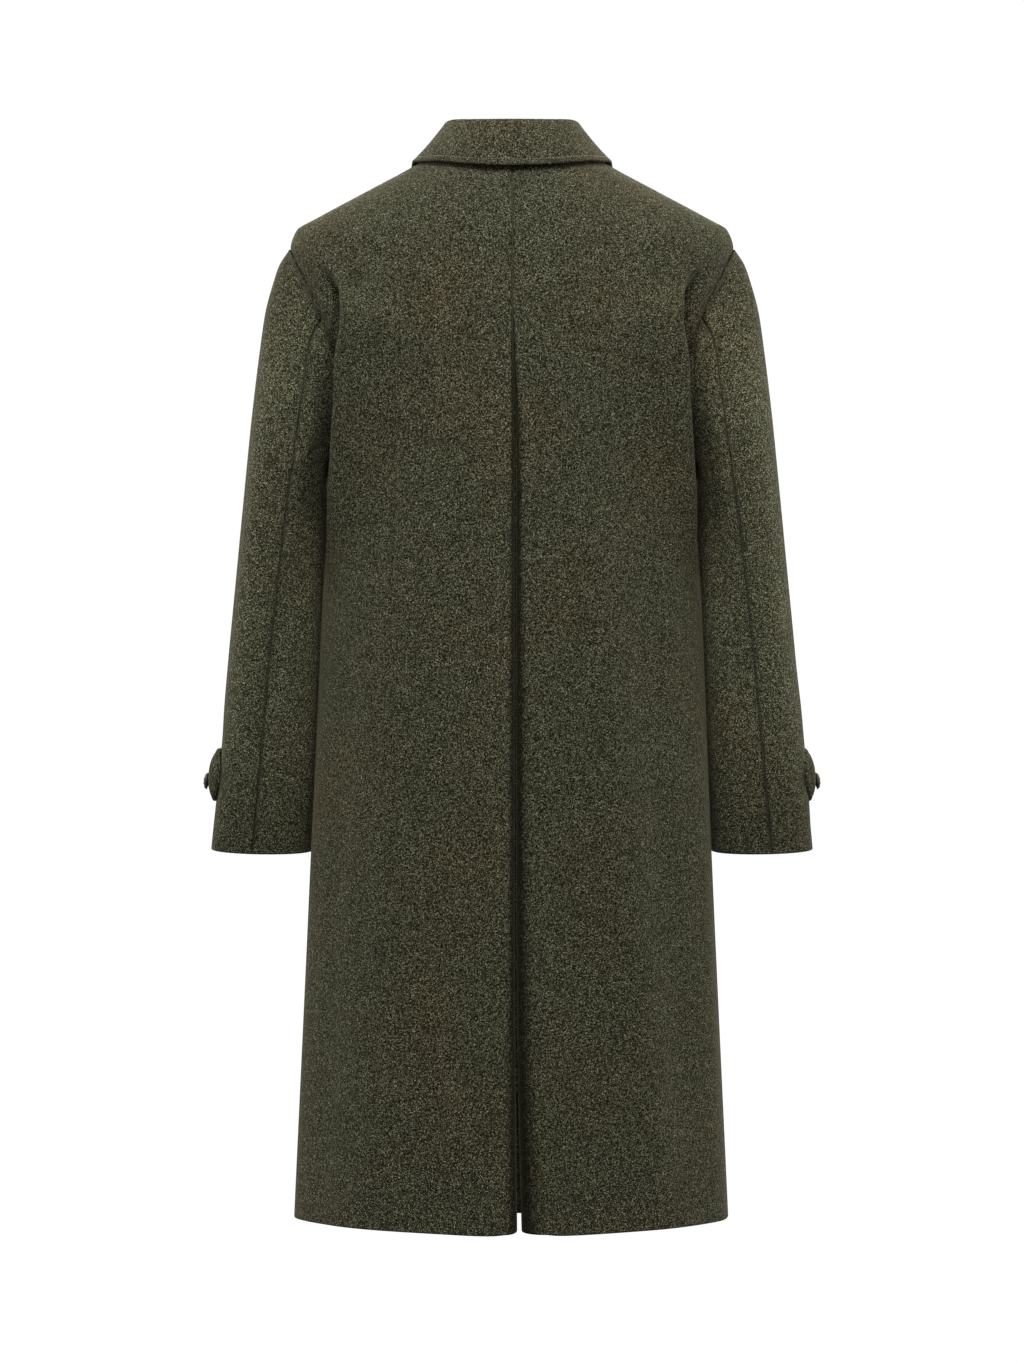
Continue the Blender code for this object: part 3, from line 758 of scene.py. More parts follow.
def addFront(sideName, side):
    # a front: the body from the side past the centre by the lap; the right one dips under the left one, level
    # at the neck and square to the cloth below, and the left one is grooved along its stitched edge
    level, turn = panelRows(-1)
    surface = drapedBody(side)
    sideAngle = armhole(turn)[0]
    endAngle = lapAngle(level, frontHalf["lap"])
    sideStops = cloth["nearEdge"] / frontHalf["acrossAbout"]
    endStops = cloth["nearStitch"] / frontHalf["acrossAbout"]
    across = crowdedStops(1.0, frontHalf["acrossStep"], sideStops, endStops)[None, :]
    angle = sideAngle + (endAngle - sideAngle) * across
    outer, out = surface(angle, level), outward(surface, angle, level)
    if side < 0:
        down = softStep((outer[:1, :, 2:] - outer[..., 2:]) / frontHalf["neckDown"])
        pastEdge = outer[..., :1] - frontHalf["lap"] - frontHalf["lapClear"] * down
        blend = frontHalf["neckBlend"] + (frontHalf["lapBlend"] - frontHalf["neckBlend"]) * down
        under = unit(np.concatenate([out[..., :2], out[..., 2:] * down], axis=-1))
        outer = outer - frontHalf["lapUnder"] * (1 - softStep(pastEdge / blend)) * under
    else:
        toEdge = outer[..., :1] + frontHalf["lap"]
        outer = outer - cloth["grooveDeep"] * bell((toEdge - cloth["stitchIn"]) / cloth["grooveWide"]) * out
    # painted shade beside the side and armhole seam
    press = cloth["pressOutside"] * besideSeams(outer, 1, 0, cloth["pressWide"])
    outer = outer - seamValley(outer, level < coatBody["underarm"], 0) * out
    node = f"front_{sideName}"
    piece = addShell(node, outer, out, cloth["wall"], side, coatWool, press=press)


sleeves = {
    "startDepths": (-1.2, 1.0),
    "backFlat": 0.6,
    "frontSeam": -110.0,
    # the back seam: its turn at places counted in rings
    "backSeam": ((0, 62.0), (3, 71.0), (5, 85.0), (7, 94.0), (10, 86.0), (12, 81.0)),
    "cuffSag": 3.6,
    "columns": ("outX", "outZ", "inX", "inZ", "middleY", "halfDepth", "lean", "oval"),
    # each ring's outer point, set back by the lean, and its inner point, set forward by it, from the
    # armhole's own shape (oval 0) to an oval (1)
    "rings": (
        (237.0, -95.5, 195, -331.5, -6, 66, 0, 0.08),
        (244.5, -108, 195.5, -335, -6, 69, 1, 0.25),
        (251.0, -128, 195.0, -340, -7, 72, 3, 0.45),
        (258.3, -157, 194.0, -347, -8, 75, 6, 0.65),
        (265.0, -205, 192.8, -356, -11, 78, 9, 0.83),
        (272.5, -266, 191.8, -368, -18, 79, 11, 0.95),
        (281.5, -350, 191.3, -389, -27, 77, 11, 1.0),
        (289.8, -428, 194.5, -442, -34, 71, 8, 1.0),
        (299.0, -516, 200.0, -528, -39, 64, 4, 1.0),
        (308.6, -617, 205.0, -626, -43, 57, 0, 1.0),
        (318.6, -722, 210.6, -724, -47, 51, 0, 1.0),
    ),
    "downStep": 4.2,
    "acrossStep": 3.6,
    "lineTurn": 45.0,
    "lineStops": 600,
    "nearArmhole": (0.0, 0.3, 0.8, 1.5, 2.3, 3.2, 4.4, 6.0, 8.0, 10.5),
    # places between which creases rise, and over how many rings they come and go
    "creaseFrom": 2.5,
    "creaseIn": 2.0,
    "creaseTo": 12.0,
    "creaseOut": 0.8,
    # creases on each sleeve: from turn and height to turn and height, width in degrees, height
    "creases": {
        1: (
            (80, -258, 100, -312, 6, -4.6),
            (116, -196, 106, -252, 9, 4.2),
            (112, -250, 100, -330, 8, 2.8),
            (58, -470, 62, -570, 13, 2.0),
            (122, -330, 112, -470, 12, -2.6),
            (40, -300, 46, -520, 16, 1.8),
            (96, -420, 90, -640, 10, -1.8),
            (-40, -300, -30, -560, 15, 2.4),
            (-75, -340, -62, -520, 11, -2.6),
            (-95, -420, -100, -640, 12, 2.0),
            (10, -560, 14, -720, 14, -1.4),
        ),
        -1: (
            (86, -276, 104, -330, 7, -3.8),
            (114, -206, 106, -262, 9, 3.2),
            (112, -210, 104, -360, 12, 2.4),
            (52, -430, 60, -600, 14, 2.0),
            (124, -360, 116, -500, 12, -2.4),
            (34, -260, 40, -460, 15, -1.4),
            (98, -470, 92, -690, 10, -1.6),
            (-36, -330, -26, -600, 15, 2.2),
            (-72, -310, -60, -480, 12, -2.4),
            (-92, -450, -98, -660, 12, 2.0),
            (8, -520, 12, -700, 13, 1.4),
        ),
    },
    # painted light: the sleeve is painted lighter between these heights, all round by the round share and
    # fully about this turn
    "napTop": -110.0,
    "napLow": -705.0,
    "napFade": 150.0,
    "napTurn": 44.0,
    "napWide": 27.0,
    "napRound": 0.52,
    "napLight": {1: 0.66, -1: 0.84},
    # and painted shade in the pit of the arm, about this height and past the back seam
    "pitHigh": -285.0,
    "pitTall": 95.0,
    "pitTurn": 24.0,
    "pitShade": 0.95,
    # each cut: about how wide it is, its flat size and its area
    "cuts": {
        "top_sleeve": (230.0, (0.27, 0.66), 0.118),
        "under_sleeve": (200.0, (0.18, 0.6), 0.077),
    },
}
sleeveColumns = dict(zip(sleeves["columns"], np.array(sleeves["rings"], float).T))
sleevePlaces = np.arange(len(sleeves["startDepths"]) + len(sleeves["rings"]), dtype=float)
backSeam = Table(("place", "turn"), sleeves["backSeam"])


def sleeveRing(number, turn):
    # one ring: the first two lie in the armhole's edge, and the rest blend its moved shape into an oval
    edge = body(*armhole(turn))
    depths = sleeves["startDepths"]
    if number < len(depths):
        out = outward(body, *armhole(turn))
        run = body(*armhole(turn + tiny)) - body(*armhole(turn - tiny))
        intoHole = unit(np.cross(run, out))
        return edge + cloth["armholeGap"] * intoHole + depths[number] * out
    row = {name: values[number - len(depths)] for name, values in sleeveColumns.items()}
    outer = np.array([row["outX"], row["middleY"] + row["lean"], row["outZ"]])
    inner = np.array([row["inX"], row["middleY"] - row["lean"], row["inZ"]])
    cosine = np.cos(np.radians(turn))[..., None]
    sine = np.sin(np.radians(turn))[..., None]
    flattened = np.where(sine > 0, np.abs(sine) ** sleeves["backFlat"], sine)
    oval = (outer + inner) / 2 + (outer - inner) / 2 * cosine + np.array([0, row["halfDepth"], 0]) * flattened
    outerMove = outer - body(*armhole(np.array(0.0)))
    innerMove = inner - body(*armhole(np.array(180.0)))
    if number == sleevePlaces[-1]:
        oval = oval - sleeves["cuffSag"] * np.abs(sine) * upward
    moved = edge + outerMove * (1 + cosine) / 2 + innerMove * (1 - cosine) / 2
    return moved + (oval - moved) * row["oval"]


def sleeve(turn, place):
    # outer face of the sleeve: turn 0 on top, 90 behind, and the place counts rings from the armhole
    turn, place = np.broadcast_arrays(np.asarray(turn, float), np.asarray(place, float))
    stack = np.stack([sleeveRing(int(number), turn) for number in sleevePlaces])
    return readCubic(sleevePlaces, stack, np.broadcast_to(place[..., None], stack.shape[1:]))


def creasedSleeve(side):
    # the sleeve moved out by its creases, which start past the armhole seam and end before the cuff
    def surface(turn, place):
        # the sleeve plus lift along its own outward direction
        base = sleeve(turn, place)
        held = softStep((place - sleeves["creaseFrom"]) / sleeves["creaseIn"])
        held = held * softStep((sleeves["creaseTo"] - place) / sleeves["creaseOut"])
        wrapped = np.where(turn > 180, turn - 360, turn)
        lift = held * softFolds(wrapped, base[..., 2], sleeves["creases"][side])
        return base + lift[..., None] * outward(sleeve, turn, place)

    return surface


def addSleeve(sideName, side):
    # top and under sleeve: the same creased surface, from front seam to back seam and on round to the front
    surface = creasedSleeve(side)
    fine = np.linspace(sleevePlaces[0], sleevePlaces[-1], sleeves["lineStops"])
    length = lengthAlong(sleeve(np.full_like(fine, sleeves["lineTurn"]), fine), 0)
    stops = crowdedStops(length[-1], sleeves["downStep"], sleeves["nearArmhole"], cloth["nearEdge"])
    place = np.interp(stops, length, fine)[:, None]
    seam = backSeam.at("turn", place)
    ends = {"top_sleeve": (sleeves["frontSeam"], seam), "under_sleeve": (seam, 360 + sleeves["frontSeam"])}
    for part, (first, last) in ends.items():
        wide, flat, area = sleeves["cuts"][part]
        edge = cloth["nearEdge"] / wide
        across = crowdedStops(1.0, sleeves["acrossStep"] / wide, edge, edge)[None, :]
        turn = first + (last - first) * across
        node = f"{part}_{sideName}"
        outer, out = surface(turn, place), outward(surface, turn, place)
        # painted shade beside both seams and along the armhole seam
        press = besideSeams(outer, 1, 1, cloth["pressWide"]) + bell(lengthAlong(outer, 0) / cloth["pressHead"])
        high = outer[..., 2]
        # painted light: the sleeve made lighter between these heights, most about the outer turn
        nap = softStep((sleeves["napTop"] - high) / sleeves["napFade"])
        nap = nap * softStep((high - sleeves["napLow"]) / sleeves["napFade"])
        paintedLightBand = bell((turn - sleeves["napTurn"]) / sleeves["napWide"])
        paintedLightBand = sleeves["napRound"] + (1 - sleeves["napRound"]) * paintedLightBand
        # painted shade in the pit of the arm, past the back seam
        pit = bell((high - sleeves["pitHigh"]) / sleeves["pitTall"])
        pit = pit * softStep((turn - seam) / sleeves["pitTurn"])
        # painted shade from the seams less the painted light on the outer band
        press = cloth["pressOutside"] * press - sleeves["napLight"][side] * nap * paintedLightBand
        press = press + sleeves["pitShade"] * pit
        outer = outer - seamValley(outer, 1, 1) * out
        piece = addShell(node, outer, out, cloth["wall"], side, coatWool, press=press)


for sideName, side in leftAndRight:
    addBack(sideName, side)
    addFront(sideName, side)
    addSleeve(sideName, side)
addUnderlay()
print("body and sleeves made")


stitch = {
    "pitch": 3.6,
    "length": 2.7,
    "wide": 0.6,
    "high": 0.45,
    "sunk": 0.25,
    "places": 5,
    "tip": 0.04,
    "taper": 0.6,
}


def spindles(centres, along, out):
    # small closed spindles, one for each centre: radius sin(pi * place) to a power round the line along it
    places, spins = stitch["places"], 6  # the caps below close a ring of six
    place = np.linspace(stitch["tip"], 1 - stitch["tip"], places)
    spin = np.linspace(0, 2 * np.pi, spins, endpoint=False)
    swell = np.sin(np.pi * place) ** stitch["taper"]
    side = np.cross(along, out)
    reach = (place - 0.5) * stitch["length"]
    points = (
        centres[:, None, None]
        + along[:, None, None] * reach[None, :, None, None]
        + side[:, None, None] * (swell[:, None] * np.cos(spin) * stitch["wide"] / 2)[None, ..., None]
        + out[:, None, None] * (swell[:, None] * np.sin(spin) * stitch["high"] / 2)[None, ..., None]
    )
    count = places * spins
    index = np.arange(count).reshape(places, spins)
    ahead = np.roll(index, -1, axis=1)
    belts = np.stack([index[:-1], ahead[:-1], ahead[1:], index[1:]], axis=-1).reshape(-1, 4)
    firstCap = np.array([[0, 5, 4, 3], [0, 3, 2, 1]])
    lastCap = np.array([[0, 1, 2, 3], [0, 3, 4, 5]]) + count - spins
    quads = np.concatenate([belts, firstCap, lastCap])
    every = (np.arange(len(centres)) * count)[:, None, None] + quads
    return points.reshape(-1, 3), every.reshape(-1, 4)


def evenly(path, out):
    # centres, directions and outward ways at each pitch along a path of points
    length = lengthAlong(path, 0)
    stops = np.arange(stitch["pitch"] / 2, length[-1], stitch["pitch"])

    def read(values):
        # the values at each stop
        return np.stack([np.interp(stops, length, column) for column in values.T], axis=-1)

    centres = read(path)
    return centres, unit(np.gradient(centres, axis=0)), unit(read(out))


def addStitches(name, paths, side=1):
    # a row of thread spindles sunk a little into the cloth along each path
    points, quads, offset = [], [], 0
    for path, out in paths:
        centres, along, ways = evenly(path, out)
        some, faces = spindles(centres - stitch["sunk"] * ways, along, ways)
        points.append(some)
        quads.append(faces + offset)
        offset += len(some)
    mirrored = np.concatenate(points) * np.array([side, 1, 1])
    piece = addMesh(name, mirrored, np.concatenate(quads), oliveThread)
    finishPiece(piece, [])
    return piece


collar = {
    "end": 172.0,
    "wall": 3.6,
    "rollRadius": 6.0,
    "rollEnd": 45.0,
    "standGap": 0.5,
    "edgeRound": 2.0,
    "turnOut": 14.0,
    "aroundStep": 2.6,
    "aroundAbout": 1.3,
    "fallStep": 0.05,
    "fallAbout": 50.0,
    "rollStep": 0.07,
    "rollAbout": 14.0,
    "standStep": 0.12,
    "standAbout": 25.0,
    # the groove keeps off the roll; the stitches keep off the ends, lean up and lie further in by a factor
    "grooveFrom": 1.05,
    "grooveClear": 60.0,
    "stitchEnd": 4.0,
    "stitchLean": 0.3,
    "stitchFurther": 1.3,
    "columns": ("angle", "leanIn", "rise", "edgeAngle", "edgeLevel", "edgeLift", "bow"),
    # the first row mirrors the third, so that the collar is level across the centre back
    "stations": (
        (-45, 8.5, 34.6, -45, -2.6, 7, 0),
        (0, 2, 36.5, 0, -2.2, 8, 2),
        (45, 8.5, 34.6, 45, -2.6, 7, 0),
        (70, 11.5, 32.6, 70, -4.2, 5.2, -1),
        (90, 12.5, 29.0, 90, -4.4, 5.2, -1),
        (112, 11, 27.0, 118, -13, 5.8, -1),
        (135, 5, 26.0, 140, -25, 6, 1),
        (172, -3, 20.0, 164.5, -40, 6, 2),
    ),
    "flatFall": (0.6, 0.08),
    "areaFall": 0.036,
    "flatStand": (0.5, 0.035),
    "areaStand": 0.011,
}
collarTable = Table(collar["columns"], collar["stations"])


def collarFrame(angle):
    # for each station: the neck's edge, the roll's middle, the way out, the fall's edge and its bow
    apart = np.abs(angle)
    neck = body(apart, coatBody["neck"])
    run = directions(body, apart, np.full_like(apart, coatBody["neck"]))[0]
    planOut = unit(np.stack([-run[..., 1], run[..., 0], np.zeros_like(apart)], axis=-1))
    middle = neck - collarTable.at("leanIn", apart)[..., None] * planOut
    middle = middle + upward * (collarTable.at("rise", apart) - collar["rollRadius"])[..., None]
    level = collarTable.at("edgeLevel", apart)
    edgeAngle = collarTable.at("edgeAngle", apart)
    lift = collarTable.at("edgeLift", apart)[..., None]
    edge = body(edgeAngle, level) + lift * outward(body, edgeAngle, level)
    flip = np.stack([np.where(angle < 0, -1, 1), np.ones_like(angle), np.ones_like(angle)], axis=-1)
    return neck * flip, middle * flip, planOut * flip, edge * flip, collarTable.at("bow", apart)[..., None]


def rollWay(out, place):
    # the way from the roll's middle to its face: place 0 faces the neck, and 1 is where the fall begins
    bend = np.radians(180 + (collar["rollEnd"] - 180) * np.clip(place, 0, 1))[..., None]
    return np.cos(bend) * out + np.sin(bend) * upward


def collarFall(angle, place):
    # outer face of the fall: place 0 to 1 goes over the roll, and 1 to 2 down to the edge, leaving the
    # roll along its own direction
    middle, out, edge, bow = collarFrame(angle)[1:]
    over = middle + collar["rollRadius"] * rollWay(out, place)
    down = np.clip(place - 1, 0, 1)[..., None]
    bend = np.radians(collar["rollEnd"])
    leave = np.sin(bend) * out - np.cos(bend) * upward
    turned = collar["turnOut"] * down * (1 - down) ** 3 * (leave - unit(edge - over))
    return over + (edge - over) * down + bow * 4 * down * (1 - down) * unit(out + upward) + turned


def gridNormals(grid):
    # directions square to a grid of points, by its own rows and columns
    return unit(np.cross(np.gradient(grid, axis=0), np.gradient(grid, axis=1)))


def addCollar():
    # the fall with its roll, grooved along its stitched edge, and the stand inside it
    around = cloth["nearStitch"] / collar["aroundAbout"]
    angle = crowdedStops(2 * collar["end"], collar["aroundStep"], around, around)[:, None] - collar["end"]
    fallEdge, rollEdge = cloth["nearStitch"] / collar["fallAbout"], cloth["nearEdge"] / collar["rollAbout"]
    fallStops = crowdedStops(1.0, collar["fallStep"], cloth["plainEnd"], fallEdge)
    rollStops = crowdedStops(1.0, collar["rollStep"], rollEdge, cloth["plainEnd"])
    place = np.concatenate([rollStops, 1 + fallStops[1:]])[None, :]
    angles, places = np.broadcast_arrays(angle, place)
    fall = collarFall(angles, places)
    neck, middle, out = collarFrame(angle[:, 0])[:3]
    normals = np.where(places[..., None] <= 1, rollWay(out[:, None], places), gridNormals(fall))
    toEdge = lengthAlong(fall[:, ::-1], 1)[:, ::-1]
    fromEnd = lengthAlong(fall, 0)
    toEnds = np.minimum(fromEnd, fromEnd[-1:] - fromEnd)
    toEdge = np.minimum(toEdge, toEnds + collar["grooveClear"] * (places < collar["grooveFrom"]))
    groove = cloth["grooveDeep"] * bell((toEdge - cloth["stitchIn"]) / cloth["grooveWide"])
    fall = fall - groove[..., None] * normals
    piece = addShell(
        "collar_fall", fall, normals, collar["wall"], 1, coatWool, edgeRound=collar["edgeRound"]
    )

    # stitches follow the groove along the fall's edge
    angle = angle[:, 0]
    lengths = np.linalg.norm(np.diff(fall, axis=1), axis=-1).sum(axis=1)
    spread = angle[np.abs(angle) < collar["end"] - collar["stitchEnd"]]
    seamPlace = np.interp(spread, angle, 2 - collar["stitchFurther"] * cloth["stitchIn"] / lengths)
    path = collarFall(spread, seamPlace)
    ways = collarFrame(spread)[2] + upward * collar["stitchLean"]
    stitches = addStitches("collar_stitches", [(path, unit(ways))])

    foot = neck - collar["wall"] * out + collar["standGap"] * upward
    head = middle - collar["rollRadius"] * out - collar["standGap"] * upward
    edge = cloth["nearEdge"] / collar["standAbout"]
    rise = crowdedStops(1.0, collar["standStep"], edge, edge)
    stand = foot[:, None] + (head - foot)[:, None] * rise[None, :, None]
    toNeck = -np.repeat(out[:, None], stand.shape[1], axis=1)
    piece = addShell(
        "collar_stand", stand, toNeck, collar["wall"], 1, insideWool, edgeRound=collar["edgeRound"]
    )


addCollar()
print("collar made")


button = {
    "strands": 4,
    "strandRound": 0.5,
    "strandArch": 0.45,
    "weaveDeep": 0.11,
    "weaveFade": 0.35,
    "rim": 0.22,
    "flatBelow": 0.45,
    "points": 45,
}


def addButton(node, seat, out, radius, height):
    # a dome over a square pressed to a disc, x = u sqrt(1 - v v / 2) and y likewise, with strands of a
    # basket weave raised on it: each crossing shows one strand, round across and arched along
    line = np.linspace(-1, 1, button["points"])
    u, v = np.meshgrid(line, line, indexing="ij")
    x, y = u * np.sqrt(1 - v * v / 2), v * np.sqrt(1 - u * u / 2)
    apart = np.clip(np.hypot(x, y), 0, 1)
    first, second = (u + 1) / 2 * button["strands"], (v + 1) / 2 * button["strands"]
    cell = np.floor(first) + np.floor(second)
    roundFirst, roundSecond = np.abs(np.sin(np.pi * first)), np.abs(np.sin(np.pi * second))
    arch, power = button["strandArch"], button["strandRound"]
    upright = roundFirst**power * (1 - arch + arch * roundSecond)
    level = roundSecond**power * (1 - arch + arch * roundFirst)
    crest = np.where(cell % 2 > 0.5, upright, level)
    dome = button["rim"] + (1 - button["rim"]) * np.sqrt(1 - apart**2)
    woven = button["weaveDeep"] * radius * (crest - 0.5) * (1 - apart**2) ** button["weaveFade"]
    topZ = height * dome + woven
    lowZ = height * button["rim"] * softStep((apart - button["flatBelow"]) / (1 - button["flatBelow"]))
    across = unit(np.cross(out, upward))
    uprightWay = np.cross(across, out)
    flat = radius * (x[..., None] * across + y[..., None] * uprightWay)
    top, low = seat + flat + topZ[..., None] * out, seat + flat + lowZ[..., None] * out
    kept, quads = doubleGrid(*x.shape)
    points = np.stack([top, low]).reshape(-1, 3)[kept]
    crests = np.stack([crest, 0 * crest]).ravel()[kept]
    piece = addMesh(f"{node}_woven", points, quads, buttonLeather, attributes={"crest": crests})
    finishPiece(piece, [node])


cuffTab = {
    "wall": 3.5,
    "end": 24.0,
    "pointFrom": 8.0,
    "topRing": 10.985,
    "lowRing": 11.52,
    "pointKeep": 0.25,
    "pointPower": 1.3,
    "sewnLift": 0.5,
    "lift": 6.6,
    "edgeDown": 1.25,
    "edgePower": 2.4,
    "tipDown": 0.9,
    "buttonSink": 0.7,
    "buttonTurn": 1.0,
    "buttonRing": 11.33,
    "buttonRadius": 9.0,
    "buttonHeight": 5.2,
    "alongStep": 2.2,
    "acrossStep": 0.1,
    "halfAbout": 24.0,
    "grooveReach": 20.0,
    # the stitches start this many degrees past the seam and go on past the start of the point
    "stitchFrom": 2.0,
    "stitchPast": 4.0,
    "stitchStops": 80,
    "flat": (0.155, 0.056),
    "area": 0.0082,
}


def tabFace(turn, across):
    # outer face of the tab: the sleeve lifted out, across from -1 to 1, drawn in towards the pointed end and
    # bowed, its long edges pressed down by a power of across and its tip by a soft step
    middle = (cuffTab["lowRing"] + cuffTab["topRing"]) / 2
    half = (cuffTab["lowRing"] - cuffTab["topRing"]) / 2
    point = np.clip((turn - cuffTab["pointFrom"]) / (cuffTab["end"] - cuffTab["pointFrom"]), 0, 1)
    keep = 1 - (1 - cuffTab["pointKeep"]) * point ** cuffTab["pointPower"]
    place = middle + half * keep * across
    rise = softStep((turn - sleeves["frontSeam"]) / -sleeves["frontSeam"])
    bowed = 1 - cuffTab["edgeDown"] * np.abs(across) ** cuffTab["edgePower"]
    bowed = bowed * (1 - cuffTab["tipDown"] * softStep(point))
    lift = cuffTab["wall"] + cuffTab["sewnLift"] + (cuffTab["lift"] - cuffTab["sewnLift"]) * rise * bowed
    out = outward(sleeve, turn, place)
    return sleeve(turn, place) + lift[..., None] * out, out


def addTab(sideName, side):
    # a cuff tab from the front seam to its point, with a stitched groove, stitches and a button
    start, edge = sleeves["frontSeam"], cloth["nearStitch"] / cuffTab["halfAbout"]
    along = crowdedStops(cuffTab["end"] - start, cuffTab["alongStep"], cloth["nearEdge"], cloth["nearStitch"])
    across = crowdedStops(2.0, cuffTab["acrossStep"], edge, edge)[:, None] - 1
    outer, out = tabFace(*np.broadcast_arrays(start + along[None, :], across))
    inside = edgeDistance(outer, cuffTab["grooveReach"])
    groove = cloth["grooveDeep"] * bell((inside - cloth["stitchIn"]) / cloth["grooveWide"])
    node = f"cuff_tab_{sideName}"
    piece = addShell(node, outer - groove[..., None] * out, out, cuffTab["wall"], side, coatWool)
    line = np.linspace(
        start + cuffTab["stitchFrom"], cuffTab["pointFrom"] + cuffTab["stitchPast"], cuffTab["stitchStops"]
    )
    inset = 1 - cloth["stitchIn"] / cuffTab["halfAbout"]
    paths = [tabFace(line, np.full_like(line, way * inset)) for way in (-1, 1)]
    stitches = addStitches(f"{node}_stitches", paths, side)
    mirrored = np.array([side, 1, 1])
    turn, place = np.array(cuffTab["buttonTurn"]), np.array(cuffTab["buttonRing"])
    out = outward(sleeve, turn, place)
    seat = sleeve(turn, place) + (cuffTab["wall"] + cuffTab["lift"] - cuffTab["buttonSink"]) * out
    addButton(
        f"cuff_button_{sideName}", seat * mirrored, out * mirrored, cuffTab["buttonRadius"],
        cuffTab["buttonHeight"],
    )


for sideName, side in leftAndRight:
    addTab(sideName, side)
print("cuff tabs made")


closing = {
    "top": -160.0,
    "step": 135.0,
    "count": 5,
    "radius": 14.0,
    "height": 7.5,
    "holeFrom": -3.0,
    "holeTo": 31.0,
    "holeHalf": 1.5,
    "ridge": 0.75,
    "whip": 0.85,
    "whipDeep": 0.22,
    "steps": 320,
    "spins": 8,
    # the front edge's stitches stop short of the neck and the hem
    "edgeTop": 12.0,
    "edgeLow": 6.0,
    "edgeStops": 500,
}


def frontPoint(x, z):
    # a point of the closed front's outer face near the centre, and its way out, from x and the level
    level = np.broadcast_to(z, np.shape(x)).astype(float)
    angle = lapAngle(level, -x)
    return body(angle, level), outward(body, angle, level)


def addButtonhole(number, level):
    # whipped edge of a buttonhole: a tube round a long loop, its radius rippled by the stitches across it
    start, end, half = closing["holeFrom"], closing["holeTo"], closing["holeHalf"]
    straight, bend = end - start, np.pi * half
    steps, spins = closing["steps"], closing["spins"]
    stop = np.linspace(0, 2 * straight + 2 * np.pi * half, steps, endpoint=False)
    # along the upper side, round the far end, back along the lower side and round the near end
    zones = [stop < straight, stop < straight + bend, stop < 2 * straight + bend]
    farTurn, nearTurn = (stop - straight) / half, (stop - 2 * straight - bend) / half
    x = np.select(
        zones, [start + stop, end + half * np.sin(farTurn), end - (stop - straight - bend)],
        start - half * np.sin(nearTurn),
    )
    rise = np.select(
        zones, [half + 0 * stop, half * np.cos(farTurn), 0 * stop - half], -half * np.cos(nearTurn)
    )
    line, out = frontPoint(x, level + rise)
    along = unit(np.roll(line, -1, axis=0) - np.roll(line, 1, axis=0))
    sideWay = np.cross(along, out)
    spin = np.linspace(0, 2 * np.pi, spins, endpoint=False)
    ripple = closing["ridge"] * (1 + closing["whipDeep"] * np.sin(2 * np.pi * stop / closing["whip"]))
    points = line[:, None] + ripple[:, None, None] * (
        np.cos(spin)[None, :, None] * sideWay[:, None] + np.sin(spin)[None, :, None] * out[:, None]
    )
    index = np.arange(steps * spins).reshape(steps, spins)
    ahead, aside = np.roll(index, -1, axis=0), np.roll(index, -1, axis=1)
    quads = np.stack([index, aside, np.roll(ahead, -1, axis=1), ahead], axis=-1).reshape(-1, 4)
    piece = addMesh(f"buttonhole_{number}_edge", points.reshape(-1, 3), quads, oliveThread)
    finishPiece(piece, [])


for number in range(closing["count"]):
    level = closing["top"] - number * closing["step"]
    seat, out = frontPoint(np.array(0.0), level)
    addButton(f"front_button_{number + 1}", seat, out, closing["radius"], closing["height"])
    addButtonhole(number + 1, level)
edgeLevels = np.linspace(
    coatBody["neck"] - closing["edgeTop"], coatBody["hem"] + closing["edgeLow"], closing["edgeStops"]
)
edgeLine = frontPoint(np.full_like(edgeLevels, cloth["stitchIn"] - frontHalf["lap"]), edgeLevels)
addStitches("front_edge_stitches", [edgeLine])
print("closing made")


studio = {
    "cameraAway": 4.4,
    "cameraHigh": -0.546,
    "imageHigh": 1365,
    "metresPerPixel": 0.00105,
    "sensor": 36.0,
    # how bright the surroundings are below, level with the coat and above, and where they are level
    "lightBelow": 0.2,
    "lightLevel": 1.03,
    "lightAbove": 1.5,
    "levelFromTo": (0.42, 0.56),
    # how much brighter they are at the sides and dimmer on the camera's side, and where the dimming comes in
    "lightAside": 1.0,
    "dimBehind": 0.55,
    "dimFromTo": (-0.3, 0.5),
    "floorLow": -1.45,
    "floorHalf": 1.1,
    "floorShade": 0.34,
    "floorRoughness": 0.9,
    # soft square lamps: place and power
    "lamps": {
        "topLamp": ((0.0, 1.8, 2.0), 310.0),
        "leftLamp": ((1.3, 3.6, 0.2), 30.0),
        "rightLamp": ((-1.3, 3.6, 0.2), 30.0),
        "leftRimLamp": ((2.6, -0.9, 0.7), 110.0),
        "rightRimLamp": ((-2.6, -0.9, 0.7), 110.0),
        "frontLamp": ((0.0, -2.6, 1.2), 130.0),
    },
    "lampAim": (0.0, 0.0, -0.3),
    "lampSize": 1.4,
}


def turnTo(thing, way):
    # turns an object so that its -Z looks the given way with +Y upwards
    thing.rotation_euler = Vector(way).to_track_quat("-Z", "Y").to_euler()


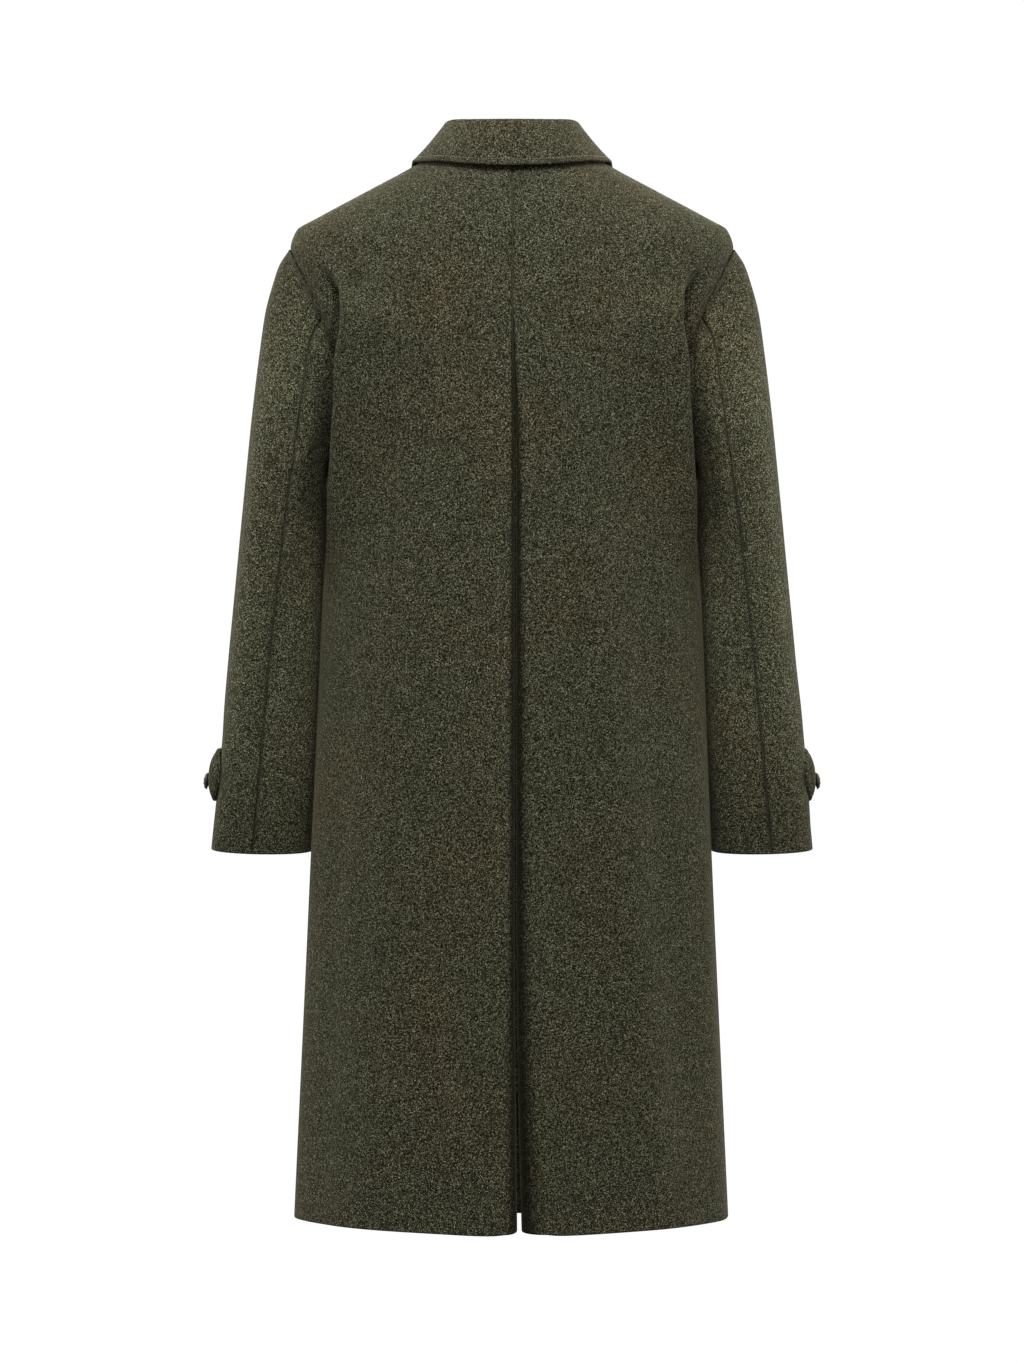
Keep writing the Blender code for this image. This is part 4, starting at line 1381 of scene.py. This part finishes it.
def addStudio():
    # a pale floor, white surroundings, soft lamps and the camera level with the photo's middle
    scene = bpy.context.scene
    scene.view_settings.view_transform = "Standard"
    world = bpy.data.worlds.new("paleStudio")
    world.use_nodes = True
    sky = NodeTree(world.node_tree)
    way = sky.node("ShaderNodeTexCoord")
    aside, behind, height = (
        sky.node("ShaderNodeSeparateXYZ", None, {"Vector": way}, axis) for axis in range(3)
    )
    shares = [studio[key] / studio["lightAbove"] for key in ("lightBelow", "lightLevel", "lightLevel")]
    places = (0.0, *studio["levelFromTo"], 1.0)
    stops = [(place, (share, share, share)) for place, share in zip(places, shares + [1.0])]
    light = sky.node("ShaderNodeValToRGB", {"stops": stops}, {"Fac": height * 0.5 + 0.5})
    dimFrom, dimTo = studio["dimFromTo"]
    behind = sky.node(
        "ShaderNodeMapRange", {"interpolation_type": "SMOOTHSTEP"},
        {"Value": behind, "From Min": dimFrom, "From Max": dimTo},
    )
    background = sky.tree.nodes["Background"]
    sky.put(background.inputs["Color"], light)
    strength = (aside * aside * studio["lightAside"] + 1.0) * (1.0 - behind * studio["dimBehind"])
    sky.put(background.inputs["Strength"], strength * studio["lightAbove"])
    scene.world = world

    reach, low = studio["floorHalf"], studio["floorLow"]
    mesh = bpy.data.meshes.new("paleFloor")
    corners = [(-reach, -reach, low), (reach, -reach, low), (reach, reach, low), (-reach, reach, low)]
    mesh.from_pydata(corners, [], [(0, 1, 2, 3)])
    pale = Finish("palePaint")
    pale.set(baseColor=(studio["floorShade"],) * 3 + (1.0,), roughness=studio["floorRoughness"])
    mesh.materials.append(pale.material)
    floor = bpy.data.objects.new("paleFloor", mesh)
    scene.collection.objects.link(floor)

    for name, (place, power) in studio["lamps"].items():
        lamp = bpy.data.lights.new(name, "AREA")
        lamp.size = studio["lampSize"]
        lamp.energy = power
        box = bpy.data.objects.new(name, lamp)
        box.location = place
        turnTo(box, np.array(studio["lampAim"]) - np.array(place))
        scene.collection.objects.link(box)

    lens = bpy.data.cameras.new("camera")
    lens.sensor_width = studio["sensor"]
    lens.lens = studio["sensor"] * studio["cameraAway"] / (studio["imageHigh"] * studio["metresPerPixel"])
    camera = bpy.data.objects.new("camera", lens)
    camera.location = (0, studio["cameraAway"], studio["cameraHigh"])
    turnTo(camera, np.array([0.0, -1.0, 0.0]))
    scene.collection.objects.link(camera)
    scene.camera = camera


addStudio()
